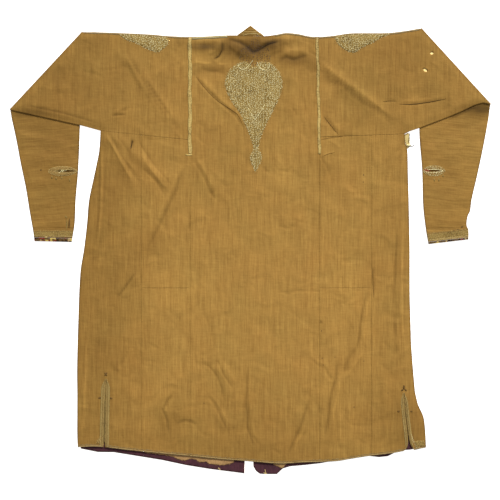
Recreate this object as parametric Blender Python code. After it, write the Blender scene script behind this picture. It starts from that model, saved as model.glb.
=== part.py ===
"""A lined long robe, laid flat and face down, with both sleeves folded under at the elbow.

It is built as it is sewn: a centre back of one loom width, gores beside it, two fronts below, and
sleeves of two loom widths that are flattened tubes. Sizes are in millimetres, and X runs to the
right, Y towards the neck and Z up from the surface that the robe lies on.
"""

import math
from collections import namedtuple

import bmesh
import bpy
from mathutils import Matrix, Vector
from mathutils.bvhtree import BVHTree

MM = 0.001

# Cloth
WALL = 1.2
SEAM = 0.3
SLACK = 0.4
TUBE = 2 * WALL + SLACK
FACING_WALL = 1.0
SCRAP_WALL = 0.6
TAPE_WALL = 0.8
# Height of the back above dead flat, and over the facing at its hem
BROAD_RISE = 0.9
LEAST_RISE = 0.1
HEM_RISE = 2.1
HEM_RISE_START = 95.0
HEM_RISE_RUN = 40.0
EDGE_FADE = 30.0

# Main widths and heights of the robe as it lies
LOOM_LEFT = -169.8
LOOM_RIGHT = 196.0
GORE_LEFT = -307.0
GORE_RIGHT = 343.0
GORE_PIECING = -108.0
SLEEVE_SEAM_LEFT = -542.0
SLEEVE_SEAM_RIGHT = 562.0
FRONT_CENTRE = -3.0
FRONT_GAP_AT_HEM = 25.0
FRONT_GAP_AT_NECK = 0.8
FRONT_NECK_HALF_WIDTH = 88.0
FRONT_NECK_DROP = 250.0
FACING_DEPTH = 45.0
TAPE_END = 272.0
BRAID_WIDTH = 4.0

# Outline curves. A row is a place along the curve and the value there.
SHOULDER = [
    (-473, 617), (-368, 614), (-283, 610), (-232, 605.6), (-158, 603), (-68, 607), (-28, 607),
    (40, 605), (71, 608.5), (102, 614), (136, 611), (164, 605), (192, 603), (238, 606.5),
    (283, 613), (385, 614), (430, 618), (484, 627),
]
SIDE_LEFT = [
    (-560, -486.5), (-530, -488), (-470, -488.5), (-400, -488.5), (-334, -489), (-198, -485.5), (-62, -479.5), (6, -469), (74, -461),
    (142, -455), (209, -441), (277, -427), (337, -422),
]
SIDE_RIGHT = [
    (-560, 498), (-504, 495), (-470, 490), (-436, 475), (-402, 467), (-334, 461), (-266, 456),
    (-130, 452), (6, 451.5), (142, 449), (209, 447), (277, 445.5), (291, 443), (302, 438.5), (329, 437),
]
HEM = [
    (-490, -557.5), (-430, -556), (-345, -565.5), (-255, -574.5), (-164, -583), (-73, -592), (-5, -597),
    (40, -601), (85, -604), (153, -600.5), (243, -597), (289, -589.5), (334, -582.5), (402, -574.5),
    (447, -566), (498, -558.5),
]
FRONT_HEM_LEFT = [
    (-478, -562), (-430, -571.5), (-385, -572), (-317, -583), (-249, -594), (-181, -608.5),
    (-113, -619.5), (-16, -632),
]
FRONT_HEM_RIGHT = [
    (10, -612), (17, -625), (28, -633), (45, -634), (76, -634), (93, -618), (113, -612),
    (153, -608.5), (198, -603.5), (243, -595), (289, -586), (318, -580), (338, -583), (365, -586),
    (390, -583.5), (410, -573), (430, -566), (453, -565), (488, -557),
]
SCRAP_EDGE = [
    (-296, -573), (-273, -575.5), (-247, -578.5), (-221, -584), (-200, -593), (-185, -595.5),
    (-160, -591), (-141, -600.5), (-124, -599), (-116, -605), (-98, -607), (-74, -608), (-58, -605),
    (-45, -599.5),
]
TONGUE_EDGE = [(66, -607), (80, -613), (90, -617), (102, -607)]
LINING_EDGE = [(287, 447), (294, 451), (305, 452), (318, 451.5), (326.5, 450)]
LINING_TOP = [(448, 332), (440.5, 328.3)]

Sleeve = namedtuple(
    "Sleeve", "side armhole corner underarm tip elbow forearm_inner forearm_outer cuff_foot edging_foot"
)
LEFT = Sleeve(
    side=-1,
    armhole=(LOOM_LEFT, 603.0),
    corner=(LOOM_LEFT, 311.0),
    underarm=[(-422, 337), (-481, 353), (-680, 398)],
    tip=(-680, 398),
    elbow=(-475, 618),
    forearm_inner=[(24, -504), (74, -496), (142, -493), (224, -486), (354, -481), (618, -475)],
    forearm_outer=[(27, -610), (51, -613), (108, -623), (176, -634), (243, -648), (317, -662), (398, -680)],
    cuff_foot=(33.5, 35.5),
    edging_foot=(22.5, 25),
)
RIGHT = Sleeve(
    side=1,
    armhole=(190.0, 603.0),
    corner=(LOOM_RIGHT, 319.0),
    underarm=[(437, 328), (451, 335.5), (481, 345.5), (566, 378), (600, 392.5), (636, 410), (660, 416.5), (682, 413)],
    tip=(682, 413),
    elbow=(485, 628),
    forearm_inner=[(15, 505), (62, 497), (125, 490), (226, 487), (340, 479), (628, 485)],
    forearm_outer=[
        (34, 618.5), (57, 618), (71, 613), (98, 616.5), (109, 622.5), (142, 627), (209, 642.5), (277, 657),
        (334, 668), (413, 682),
    ],
    cuff_foot=(22.5, 35),
    edging_foot=(16.5, 30),
)
FAN_STEPS = [0, 0.1, 0.22, 0.35, 0.48, 0.61, 0.74, 0.87, 1]
FOLD_STEPS = 5
# The loom-width seam needs a little more room where it goes round the fold
SLEEVE_SEAM_GAP = 0.8
# Where each section of the forearm meets its inner and its outer edge, as heights up the page
ForearmRow = namedtuple("ForearmRow", "inner outer")
FOREARM_ROWS = [
    ForearmRow(555, 372), ForearmRow(470, 345), ForearmRow(385, 312), ForearmRow(310, 272),
    ForearmRow(236, 232), ForearmRow(190, 190), ForearmRow(130, 130),
]
CUFF_TOP = 60.0
RAMP = 55.0
RAMP_MARGIN = 40.0
UNDER_EDGE_MARGIN = 45.0

# Folds of the back, each a bent line of three points with the half width and height of its wave
Fold = namedtuple("Fold", "name x0 y0 x1 y1 x2 y2 half_width height")
FOLDS = [
    Fold("left shoulder", -348, 560, -311, 500, -232, 374, 20, 3.2),
    Fold("left shoulder hollow", -320, 560, -285, 490, -215, 400, 16, -1.2),
    Fold("beside left tape", -156, 490, -79, 410, -48, 388, 17, 2.4),
    Fold("left underarm upper", -395, 335, -320, 265, -215, 175, 15, 3.2),
    Fold("left underarm lower", -412, 330, -365, 250, -320, 160, 15, 2.6),
    Fold("left waist", -180, 255, -225, 150, -275, 30, 18, 2.2),
    Fold("below left tape", -155, 250, -122, 204, -95, 150, 16, 1.8),
    Fold("right shoulder", 204, 532, 269, 467, 400, 371, 20, 3.6),
    Fold("right shoulder hollow", 190, 500, 260, 430, 330, 380, 18, -1.2),
    Fold("right underarm", 425, 320, 380, 250, 350, 170, 18, 2.2),
    Fold("neck left", -165, 572, -110, 562, -70, 585, 15, 3.0),
    Fold("neck middle", -50, 590, -20, 560, 28, 540, 14, 3.2),
    Fold("neck right", 30, 590, 75, 580, 120, 605, 14, 3.4),
    Fold("neck right lower", 90, 560, 130, 548, 170, 560, 15, 1.8),
    Fold("left hip", -320, -62, -345, -95, -372, -132, 16, 2.0),
    Fold("left hem inner", -245, -390, -252, -440, -235, -510, 14, 2.4),
    Fold("left hem outer", -395, -330, -365, -290, -345, -250, 15, 1.8),
    Fold("centre hem left", -92, -318, -70, -360, -55, -420, 15, 2.4),
    Fold("centre hem low", -92, -455, -75, -490, -60, -515, 14, 1.8),
    Fold("centre hem right", 128, -448, 142, -480, 153, -520, 15, 2.0),
    Fold("right skirt upper", 317, -136, 300, -260, 272, -342, 20, 3.4),
    Fold("right skirt lower", 272, -342, 232, -410, 228, -540, 20, 3.2),
    Fold("right gore", 412, -190, 412, -235, 405, -285, 16, 1.8),
    Fold("right hem", 368, -380, 385, -430, 398, -475, 15, 2.2),
    Fold("left forearm", -640, 270, -585, 255, -530, 262, 18, 1.2),
    Fold("right forearm", 500, 290, 560, 275, 620, 290, 18, 1.2),
]

Vent = namedtuple("Vent", "crown_x top_x top_y foot_x opening")
VENT_LEFT = Vent(crown_x=-375, top_x=-407.5, top_y=-371, foot_x=-412, opening=2.0)
VENT_RIGHT = Vent(crown_x=395, top_x=434.5, top_y=-405, foot_x=451.5, opening=24.0)
# The lips of a slit lie almost closed, this far apart at the hem, and only their foot opens out
LIP_GAP, FOOT_FLARE = 2.0, 14

# Slits and holes cut through one wall: centre, length, width
Hole = namedtuple("Hole", "name x y length width turn")
SLEEVE_SLITS = {
    "left": Hole("slit_left", -520, 223, 62, 5.0, 0.0),
    "right": Hole("slit_right", 518, 223.5, 51, 5.0, 0.0),
}
MOTH_HOLES = [
    Hole("moth_hole_upper", 513.7, 556, 10, 8, 0.2),
    Hole("moth_hole_lower", 495.3, 508, 13, 8, 0.6),
]

CLOTH = ("wool and silk cloth", (0.392, 0.221, 0.052), 0.75, 0.0)
CLOTH_DARK = ("wool and silk cloth, shaded", (0.305, 0.168, 0.039), 0.78, 0.0)
GOLD = ("gold tape", (0.546, 0.402, 0.147), 0.45, 0.3)
MAROON = ("maroon facing", (0.070, 0.015, 0.022), 0.8, 0.0)
TAN = ("tan inner cloth", (0.401, 0.258, 0.108), 0.9, 0.0)
CREAM = ("cream lining", (0.745, 0.638, 0.445), 0.9, 0.0)


def clear_scene():
    for obj in list(bpy.data.objects):
        bpy.data.objects.remove(obj)


def smooth(value):
    value = min(max(value, 0.0), 1.0)
    return value * value * (3 - 2 * value)


def lerp(a, b, share):
    return a + (b - a) * share


def follow(rows, at):
    """The value at a place along a table of rows, on a smooth curve through them."""
    i = 0
    while i < len(rows) - 2 and at > rows[i + 1][0]:
        i += 1
    (x1, y1), (x2, y2) = rows[i], rows[i + 1]
    x0, y0 = rows[max(i - 1, 0)]
    x3, y3 = rows[min(i + 2, len(rows) - 1)]
    share = min(max((at - x1) / (x2 - x1), 0.0), 1.0)
    slope1 = (y2 - y0) / (x2 - x0) * (x2 - x1)
    slope2 = (y3 - y1) / (x3 - x1) * (x2 - x1)
    rise = share * share * (3 - 2 * share)
    lean1 = share * (1 - share) ** 2
    lean2 = share * share * (share - 1)
    return lerp(y1, y2, rise) + slope1 * lean1 + slope2 * lean2


def along(points, share):
    """The point at a share of the length of a line through points."""
    sizes = [math.dist(a, b) for a, b in zip(points, points[1:])]
    left = share * sum(sizes)
    for a, b, size in zip(points, points[1:], sizes):
        if left <= size or b is points[-1]:
            part = left / size
            return (lerp(a[0], b[0], part), lerp(a[1], b[1], part))
        left -= size


def distance_to(x, y, x0, y0, x1, y1):
    """How far a point is from a stretch of line, and how far along that stretch it lies, 0 to 1."""
    dx, dy = x1 - x0, y1 - y0
    share = ((x - x0) * dx + (y - y0) * dy) / (dx * dx + dy * dy)
    share = min(max(share, 0.0), 1.0)
    return math.hypot(x - x0 - share * dx, y - y0 - share * dy), share


def fold_lift(x, y):
    total = 0.0
    for fold in FOLDS:
        near1, share1 = distance_to(x, y, fold.x0, fold.y0, fold.x1, fold.y1)
        near2, share2 = distance_to(x, y, fold.x1, fold.y1, fold.x2, fold.y2)
        near, run = (near1, share1 / 2) if near1 < near2 else (near2, 0.5 + share2 / 2)
        if near < 3 * fold.half_width:
            taper = smooth(4 * min(run, 1 - run) + 0.15)
            total += fold.height * taper * math.exp(-((near / fold.half_width) ** 2))
    return total


def lift(x, y):
    """How far the back stands above a sheet laid dead flat: a broad rise and the folds."""
    return max(BROAD_RISE + fold_lift(x, y), LEAST_RISE)


def hem_lift(x, y):
    """The back passes over the facing and the frayed cloth near its hem."""
    return HEM_RISE * smooth((follow(HEM, x) + HEM_RISE_START - y) / HEM_RISE_RUN)


def back_underside(x, y):
    inside = min(
        x - follow(SIDE_LEFT, y) if y < SIDE_LEFT[-1][0] else EDGE_FADE,
        follow(SIDE_RIGHT, y) - x if y < SIDE_RIGHT[-1][0] else EDGE_FADE,
        follow(SHOULDER, x) - y,
    )
    return WALL + SLACK + lift(x, y) * smooth(inside / EDGE_FADE) + hem_lift(x, y)


def armhole_seam_left(x):
    (x0, y0), (x1, y1) = LEFT.underarm[0], LEFT.corner
    return lerp(y0, y1, (x - x0) / (x1 - x0))


def armhole_seam_right(x):
    (x0, y0), (x1, y1) = RIGHT.corner, RIGHT.underarm[0]
    return lerp(y0, y1, (x - x0) / (x1 - x0))


def loom_right(y):
    """The right edge of the centre back leans in a little above the armhole seam."""
    (low_x, low_y), (high_x, high_y) = RIGHT.corner, RIGHT.armhole
    return lerp(low_x, high_x, max(y - low_y, 0) / (high_y - low_y))


def finish(name, bm, look):
    bmesh.ops.remove_doubles(bm, verts=bm.verts, dist=1e-7)
    bmesh.ops.recalc_face_normals(bm, faces=bm.faces)
    mesh = bpy.data.meshes.new(name)
    bm.to_mesh(mesh)
    bm.free()
    obj = bpy.data.objects.new(name, mesh)
    bpy.context.scene.collection.objects.link(obj)
    obj.data.materials.append(material(*look))
    return obj


def material(name, colour, roughness, metallic):
    found = bpy.data.materials.get(name)
    if found:
        return found
    made = bpy.data.materials.new(name)
    made.use_nodes = True
    shader = made.node_tree.nodes["Principled BSDF"]
    shader.inputs["Base Color"].default_value = (*colour, 1)
    shader.inputs["Roughness"].default_value = roughness
    shader.inputs["Metallic"].default_value = metallic
    made.diffuse_color = (*colour, 1)
    return made


def sheet(name, cells, place, wall, look):
    """A closed wall over cells, which are tuples of corner keys. place gives a key's x, y and underside."""
    bm = bmesh.new()
    low, high = {}, {}
    for key in dict.fromkeys(key for cell in cells for key in cell):
        x, y, z = place(key)
        low[key] = bm.verts.new((x * MM, y * MM, z * MM))
        high[key] = bm.verts.new((x * MM, y * MM, (z + wall) * MM))
    used = {}
    for cell in cells:
        bm.faces.new([high[key] for key in cell])
        bm.faces.new([low[key] for key in reversed(cell)])
        for a, b in zip(cell, cell[1:] + cell[:1]):
            used.setdefault(frozenset((a, b)), []).append((a, b))
    for sides in used.values():
        if len(sides) == 1:
            a, b = sides[0]
            bm.faces.new([low[a], low[b], high[b], high[a]])
    return finish(name, bm, look)


def grid_panel(name, columns, rows, place, look=CLOTH, slit=None, wall=WALL):
    """A panel of columns by rows. A slit is the column and the row where its two lips part."""

    def key(i, j, side):
        if slit and i == slit[0] and j > slit[1]:
            return (i, j, side)
        return (i, j, 0)

    cells = []
    for i in range(columns):
        for j in range(rows):
            cells.append((key(i, j, 1), key(i, j + 1, 1), key(i + 1, j + 1, -1), key(i + 1, j, -1)))
    return sheet(name, cells, place, wall, look)


def settle(across, down, left, right, top, bottom):
    """The plan point at shares across and down a panel whose four sides are curves."""
    y = lerp(top(0.0), bottom(0.0), down)
    for _ in range(4):
        x = lerp(left(y), right(y), across)
        y = lerp(top(x), bottom(x), down)
    return x, y


def back_panel(name, columns, rows, left, right, top, bottom, row_shares=None):
    shares = row_shares or [j / rows for j in range(rows + 1)]

    def place(key):
        x, y = settle(key[0] / columns, shares[key[1]], left, right, top, bottom)
        return x, y, back_underside(x, y)

    return grid_panel(name, columns, rows, place)


def make_back():
    """The centre back has closer rows above its waist, where the neck and shoulders crumple."""
    shoulder_rows = 16
    skirt_rows = 22
    waist = 0.36
    shares = [waist * j / shoulder_rows for j in range(shoulder_rows)]
    shares += [lerp(waist, 1, j / skirt_rows) for j in range(skirt_rows + 1)]
    back_panel(
        "back_centre", 14, shoulder_rows + skirt_rows,
        lambda y: LOOM_LEFT + SEAM / 2, lambda y: loom_right(y) - SEAM / 2,
        lambda x: follow(SHOULDER, x), lambda x: follow(HEM, x), shares,
    )
    for side, seam, outer, inner in (
        ("left", armhole_seam_left, lambda y: GORE_LEFT, lambda y: LOOM_LEFT),
        ("right", armhole_seam_right, loom_right, lambda y: GORE_RIGHT),
    ):
        left = lambda y, edge=outer: edge(y) + SEAM / 2
        right = lambda y, edge=inner: edge(y) - SEAM / 2
        top = lambda x, line=seam: line(x) - SEAM / 2
        back_panel(
            f"back_inner_gore_{side}_upper", 5, 14, left, right, top, lambda x: GORE_PIECING + SEAM / 2,
        )
        back_panel(
            f"back_inner_gore_{side}_lower", 5, 15, left, right,
            lambda x: GORE_PIECING - SEAM / 2, lambda x: follow(HEM, x),
        )


def outer_gore(name, vent, left, right, seam_line):
    """An outer gore with a hem slit: the slit's line is a guide down the whole panel."""
    columns_each = 3
    rows_above, rows_below = 19, 6
    seam_y = seam_line(vent.crown_x)
    foot_y = follow(HEM, vent.foot_x)
    guide = [(foot_y, vent.foot_x), (vent.top_y, vent.top_x), (seam_y, vent.crown_x)]

    def place(key):
        i, j, side = key

        def across(y):
            if i <= columns_each:
                return lerp(left(y), follow(guide, y), i / columns_each)
            return lerp(follow(guide, y), right(y), i / columns_each - 1)

        y = vent.top_y
        for _ in range(4):
            x = across(y)
            if j <= rows_above:
                y = lerp(seam_line(x) - SEAM / 2, vent.top_y, j / rows_above)
            else:
                y = lerp(vent.top_y, follow(HEM, x), (j - rows_above) / rows_below)
        x = across(y)
        if side:
            down = (j - rows_above) / rows_below
            x += side * (LIP_GAP * down + vent.opening * down**FOOT_FLARE) / 2
        return x, y, back_underside(x, y)

    grid_panel(name, 2 * columns_each, rows_above + rows_below, place, slit=(columns_each, rows_above))


def make_outer_gores():
    outer_gore(
        "back_outer_gore_left", VENT_LEFT,
        lambda y: follow(SIDE_LEFT, y), lambda y: GORE_LEFT - SEAM / 2, armhole_seam_left,
    )
    outer_gore(
        "back_outer_gore_right", VENT_RIGHT,
        lambda y: GORE_RIGHT + SEAM / 2, lambda y: follow(SIDE_RIGHT, y), armhole_seam_right,
    )


def flat_piece(name, outline, underside, wall, look):
    """A flat piece cut to an outline."""
    bm = bmesh.new()
    face = bm.faces.new([bm.verts.new((x * MM, y * MM, underside * MM)) for x, y in outline])
    raised = bmesh.ops.extrude_face_region(bm, geom=[face])
    for item in raised["geom"]:
        if isinstance(item, bmesh.types.BMVert):
            item.co.z += wall * MM
    return finish(name, bm, look)


def neck_curve(side):
    """The hidden front neckline, from the shoulder to the centre front."""
    top = follow(SHOULDER, FRONT_CENTRE + side * FRONT_NECK_HALF_WIDTH)
    points = []
    for step in range(1, 8):
        share = step / 8
        x = FRONT_CENTRE + side * lerp(FRONT_NECK_HALF_WIDTH, FRONT_GAP_AT_NECK / 2, share)
        points.append((x, top - FRONT_NECK_DROP * (1 - (1 - share) ** 1.6)))
    return points


def front_outline(side, sleeve, side_rows, hem_rows):
    """From the neck along the shoulder, round the armhole, down the side, along the hem and up the centre."""
    armhole_x, armhole_y = sleeve.armhole
    neck_x = FRONT_CENTRE + side * FRONT_NECK_HALF_WIDTH
    shoulder = [lerp(neck_x, armhole_x - side * SEAM, step / 3) for step in range(4)]
    points = [(x, follow(SHOULDER, x)) for x in shoulder]
    corner_x, corner_y = sleeve.corner
    points.append((corner_x - side * SEAM, corner_y - SEAM))
    under_x, under_y = sleeve.underarm[0]
    points.append((under_x, under_y - SEAM))
    lowest = hem_rows[0][1] if side < 0 else hem_rows[-1][1]
    ladder = [y for y, _ in reversed(side_rows) if lowest + 10 < y < under_y - 10]
    points += [(follow(side_rows, y), y) for y in ladder]
    hem = hem_rows if side < 0 else list(reversed(hem_rows))
    points += hem
    centre_foot = FRONT_CENTRE + side * FRONT_GAP_AT_HEM / 2
    points[-1] = (centre_foot, points[-1][1])
    neck = neck_curve(side)
    centre_top = FRONT_CENTRE + side * FRONT_GAP_AT_NECK / 2
    bottom_of_neck = follow(SHOULDER, neck_x) - FRONT_NECK_DROP
    points.append((centre_top, bottom_of_neck))
    points += reversed(neck)
    return points


def make_fronts():
    left = front_outline(-1, LEFT, SIDE_LEFT, FRONT_HEM_LEFT)
    right = front_outline(1, RIGHT, SIDE_RIGHT, FRONT_HEM_RIGHT)
    flat_piece("front_left", left, 0, WALL, CLOTH_DARK)
    flat_piece("front_right", right, 0, WALL, CLOTH_DARK)


def make_hem_pieces():
    """The facings inside the front hems, and the frayed cloth that hangs out over them."""
    facing_z = WALL + SEAM
    scrap_z = facing_z + FACING_WALL + SEAM
    turned_edge, end_inset, hidden_depth, steps = 0.8, 3.0, 9.0, 8
    for name, rows in (("hem_facing_left", FRONT_HEM_LEFT), ("hem_facing_right", FRONT_HEM_RIGHT)):
        low = [(x, y + turned_edge) for x, y in rows]
        first, last = low[0][0] + end_inset, low[-1][0] - end_inset
        low[0], low[-1] = (first, low[0][1]), (last, low[-1][1])
        edge = [lerp(last, first, step / steps) for step in range(steps + 1)]
        upper = [(x, follow(rows, x) + FACING_DEPTH) for x in edge]
        flat_piece(name, low + upper, facing_z, FACING_WALL, MAROON)
    for name, rows in (("hem_scrap", SCRAP_EDGE), ("hem_tongue", TONGUE_EDGE)):
        hidden = [(x, follow(HEM, x) + hidden_depth) for x, _ in reversed(rows)]
        flat_piece(name, rows + hidden, scrap_z, SCRAP_WALL, TAN)
    torn = [(x, y) for y, x in LINING_EDGE] + LINING_TOP
    body_side = [(follow(SIDE_RIGHT, y) + SEAM, y) for y, _ in reversed(LINING_EDGE)]
    flat_piece("underarm_lining", torn + body_side, 0, WALL, CREAM)


def make_neck_point():
    base_left, base_right, peak = -36.0, 40.0, (1.0, 635.0)
    outline = [
        (base_left, follow(SHOULDER, base_left) + SEAM),
        (6.0, follow(SHOULDER, 6.0) + SEAM),
        (base_right, follow(SHOULDER, base_right) + SEAM),
        peak,
    ]
    flat_piece("neck_point", outline, 0, TUBE, GOLD)


class FoldedSleeve:
    """The plan of a sleeve before it is folded, and the turn that lays its forearm underneath."""

    def __init__(self, sleeve):
        self.sleeve = sleeve
        self.radius = TUBE + SEAM / 2
        self.turn_length = math.pi * (TUBE / 2 + SEAM / 2)
        tip, elbow = Vector(sleeve.tip), Vector(sleeve.elbow)
        self.direction = (tip - elbow).normalized()
        self.outward = Vector((self.direction.y, -self.direction.x))
        if self.outward.x * sleeve.side < 0:
            self.outward = -self.outward
        self.start = elbow - self.outward * self.radius
        self.end = tip - self.outward * self.radius

    def beyond(self, point):
        return (Vector(point) - self.start).dot(self.outward)

    def unfolded(self, point):
        """Where a point of the folded forearm lies with the sleeve opened out flat."""
        inside = -self.beyond(point)
        return Vector(point) + self.outward * (2 * inside + self.turn_length)

    def fan_section(self, share, count):
        """A section between the L-shaped armhole and the fold, as count + 1 points."""
        sleeve = self.sleeve
        top_x = lerp(sleeve.armhole[0], self.start.x, share)
        rim = Vector((top_x, follow(SHOULDER, top_x)))
        rim = rim.lerp(self.start, smooth(share * 4 - 3))
        under_line = sleeve.underarm[:-1] + [tuple(self.end)]
        under = Vector(along(under_line, share))
        straight = [Vector(sleeve.armhole), Vector(sleeve.corner), Vector(sleeve.underarm[0])]
        points = []
        for step in range(count + 1):
            f = step / count
            first_leg = f < 0.5
            ends = straight[:2] if first_leg else straight[1:]
            leg = ends[0].lerp(ends[1], 2 * f if first_leg else 2 * f - 1)
            point = leg.lerp(self.start.lerp(self.end, f), share)
            first = straight[0].lerp(self.start, share)
            last = straight[2].lerp(self.end, share)
            points.append(point + (rim - first) * (1 - f) + (under - last) * f)
        return points

    def forearm_section(self, row, count):
        sleeve = self.sleeve
        inner = Vector((follow(sleeve.forearm_inner, row.inner), row.inner))
        outer = Vector((follow(sleeve.forearm_outer, row.outer), row.outer))
        return [self.unfolded(inner.lerp(outer, step / count)) for step in range(count + 1)]

    def base(self, x):
        """The upper sleeve climbs from the surface onto the forearm beneath it."""
        over = (x - self.start.x) * self.sleeve.side + RAMP_MARGIN + RAMP
        return (TUBE + SEAM) * smooth(over / RAMP)

    def folded(self, point):
        """Takes a point of the opened-out tube, with its height in the wall, to its folded place."""
        plan = Vector((point.x, point.y))
        beyond = self.beyond(plan)
        if beyond <= 0:
            return Vector((plan.x, plan.y, self.base(plan.x) + point.z))
        on_axis = plan - self.outward * beyond
        centre = TUBE + SEAM / 2
        reach = point.z + SEAM / 2
        if beyond < self.turn_length:
            angle = math.pi * beyond / self.turn_length
            plan = on_axis + self.outward * (reach * math.sin(angle))
            return Vector((plan.x, plan.y, centre + reach * math.cos(angle)))
        plan = on_axis - self.outward * (beyond - self.turn_length)
        return Vector((plan.x, plan.y, centre - reach))


def tube_ring(points):
    """The outer and the inner ring of a flattened tube's section, in plan and height."""
    edge_out, edge_in = (0.0, 0.45, 1.4), (WALL, WALL + 0.15, WALL + 0.7)
    rise_out = (0.0, 0.73 * TUBE / 2, TUBE / 2)
    rise_in = (0.0, 0.6 * SLACK / 2, SLACK / 2)
    first_way = (points[1] - points[0]).normalized()
    last_way = (points[-2] - points[-1]).normalized()

    def stations(insets, rises, full):
        plan = [points[0] + first_way * inset for inset in insets]
        heights = list(rises)
        plan += points[1:-1]
        heights += [full] * len(points[1:-1])
        plan += [points[-1] + last_way * inset for inset in reversed(insets)]
        heights += reversed(rises)
        upper = [Vector((p.x, p.y, TUBE / 2 + h)) for p, h in zip(plan, heights)]
        lower = [Vector((p.x, p.y, TUBE / 2 - h)) for p, h in zip(plan, heights)]
        return upper + lower[-2:0:-1]

    return stations(edge_out, rise_out, TUBE / 2), stations(edge_in, rise_in, SLACK / 2)


def tube_mesh(sections):
    """A flattened tube open at both ends, through sections in the opened-out plan."""
    bm = bmesh.new()
    rings = []
    for points in sections:
        outer, inner = tube_ring(points)
        rings.append(([bm.verts.new(p) for p in outer], [bm.verts.new(p) for p in inner]))
    count = len(rings[0][0])
    for (outer_a, inner_a), (outer_b, inner_b) in zip(rings, rings[1:]):
        for k in range(count):
            n = (k + 1) % count
            bm.faces.new((outer_a[k], outer_a[n], outer_b[n], outer_b[k]))
            bm.faces.new((inner_a[n], inner_a[k], inner_b[k], inner_b[n]))
    for outer, inner in (rings[0], (rings[-1][0][::-1], rings[-1][1][::-1])):
        for k in range(count):
            n = (k + 1) % count
            bm.faces.new((outer[n], outer[k], inner[k], inner[n]))
    bmesh.ops.recalc_face_normals(bm, faces=bm.faces)
    return bm


def keep_side(bm, seam_x, sign):
    """Cuts the opened-out tube along its loom-width seam and keeps one side, its cut end closed."""
    cut = bmesh.ops.bisect_plane(
        bm, geom=bm.verts[:] + bm.edges[:] + bm.faces[:],
        plane_co=(seam_x + sign * SLEEVE_SEAM_GAP / 2, 0, 0), plane_no=(sign, 0, 0),
        clear_inner=True, dist=1e-6,
    )
    edges = [item for item in cut["geom_cut"] if isinstance(item, bmesh.types.BMEdge)]
    bmesh.ops.triangle_fill(bm, edges=edges, use_dissolve=False, use_beauty=True, normal=(sign, 0, 0))
    return bm


def fold_under(bm, plan, top_rise):
    """Folds the tube at the elbow and gives its upper wall the relief of the cloth."""
    for vert in bm.verts:
        height = vert.co.z
        seen_above = plan.beyond((vert.co.x, vert.co.y)) <= plan.turn_length / 2
        in_top_wall = height > TUBE / 2 + 1e-3 if seen_above else height < TUBE / 2 - 1e-3
        place = plan.folded(vert.co)
        if in_top_wall:
            place.z += top_rise(place.x, place.y, seen_above)
        vert.co = place * MM
    return bm


def sleeve_rise(plan):
    """The relief of a sleeve's upper wall, fading out at its edges and at the fold."""
    sleeve = plan.sleeve
    underarm_rows = sorted(sleeve.underarm)

    def rise(x, y, upper):
        underarm = min(
            distance_to(x, y, *a, *b)[0] for a, b in zip(sleeve.underarm, sleeve.underarm[1:])
        )
        if upper:
            room = min(-plan.beyond((x, y)), underarm, follow(SHOULDER, x) - y)
        elif y > follow(underarm_rows, x) - 1:
            room = 0
        else:
            across = sorted((follow(sleeve.forearm_inner, y), follow(sleeve.forearm_outer, y)))
            room = min(x - across[0], across[1] - x, underarm - UNDER_EDGE_MARGIN, y - CUFF_TOP)
        return lift(x, y) * smooth(room / EDGE_FADE)

    return rise


def make_sleeve(side_name, sleeve, seam_x):
    plan = FoldedSleeve(sleeve)
    count = 8
    sections = [plan.fan_section(share, count) for share in FAN_STEPS]
    for step in range(1, FOLD_STEPS + 1):
        shift = plan.outward * (plan.turn_length * step / FOLD_STEPS)
        sections.append([point + shift for point in sections[len(FAN_STEPS) - 1]])
    sections += [plan.forearm_section(row, count) for row in FOREARM_ROWS]
    cuff_top = ForearmRow(CUFF_TOP, CUFF_TOP)
    sections.append(plan.forearm_section(cuff_top, count))
    gap = Vector((sleeve.side * SEAM / 2, 0))
    sections[0] = [point + gap for point in sections[0]]
    sections[0][count // 2 :] = [point + Vector((0, SEAM / 2)) for point in sections[0][count // 2 :]]
    rise = sleeve_rise(plan)
    for part, sign in (("inner", -sleeve.side), ("outer", sleeve.side)):
        bm = fold_under(keep_side(tube_mesh(sections), seam_x, sign), plan, rise)
        finish(f"sleeve_{side_name}_{part}", bm, CLOTH)
    cuff_foot, edging_foot = ForearmRow(*sleeve.cuff_foot), ForearmRow(*sleeve.edging_foot)
    for name, top, foot, look in (
        ("cuff", cuff_top, cuff_foot, GOLD), ("cuff_edging", cuff_foot, edging_foot, MAROON),
    ):
        below_seam = ForearmRow(top.inner - SEAM, top.outer - SEAM)
        rings = [plan.forearm_section(row, count) for row in (below_seam, foot)]
        finish(f"{name}_{side_name}", fold_under(tube_mesh(rings), plan, lambda x, y, upper: 0.0), look)


def top_surface(names):
    """The upper surface of the named pieces together, to lay trim on."""
    points, faces = [], []
    for name in names:
        mesh = bpy.data.objects[name].data
        faces += [tuple(index + len(points) for index in face.vertices) for face in mesh.polygons]
        points += [vert.co.copy() for vert in mesh.vertices]
    tree = BVHTree.FromPolygons(points, faces)

    def height(x, y):
        hit = tree.ray_cast(Vector((x * MM, y * MM, 1)), Vector((0, 0, -1)))[0]
        return hit.z / MM if hit else 0.0

    return height


def lay_strip(name, middle, half_width, height, look):
    """A strip laid on the pieces below it, made from their surface moved out."""
    reach = 3.0
    count = len(middle) - 1

    def place(key):
        i, j, _ = key
        before, after = middle[max(j - 1, 0)], middle[min(j + 1, count)]
        way = Vector((after[0] - before[0], after[1] - before[1])).normalized()
        x = middle[j][0] + way.y * half_width * (1 - i)
        y = middle[j][1] - way.x * half_width * (1 - i)
        near = [height(x + dx, y + dy) for dx in (-reach, 0, reach) for dy in (-2 * reach, 0, 2 * reach)]
        return x, y, max(near) + SEAM

    return grid_panel(name, 2, count, place, look=look, wall=TAPE_WALL)


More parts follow.
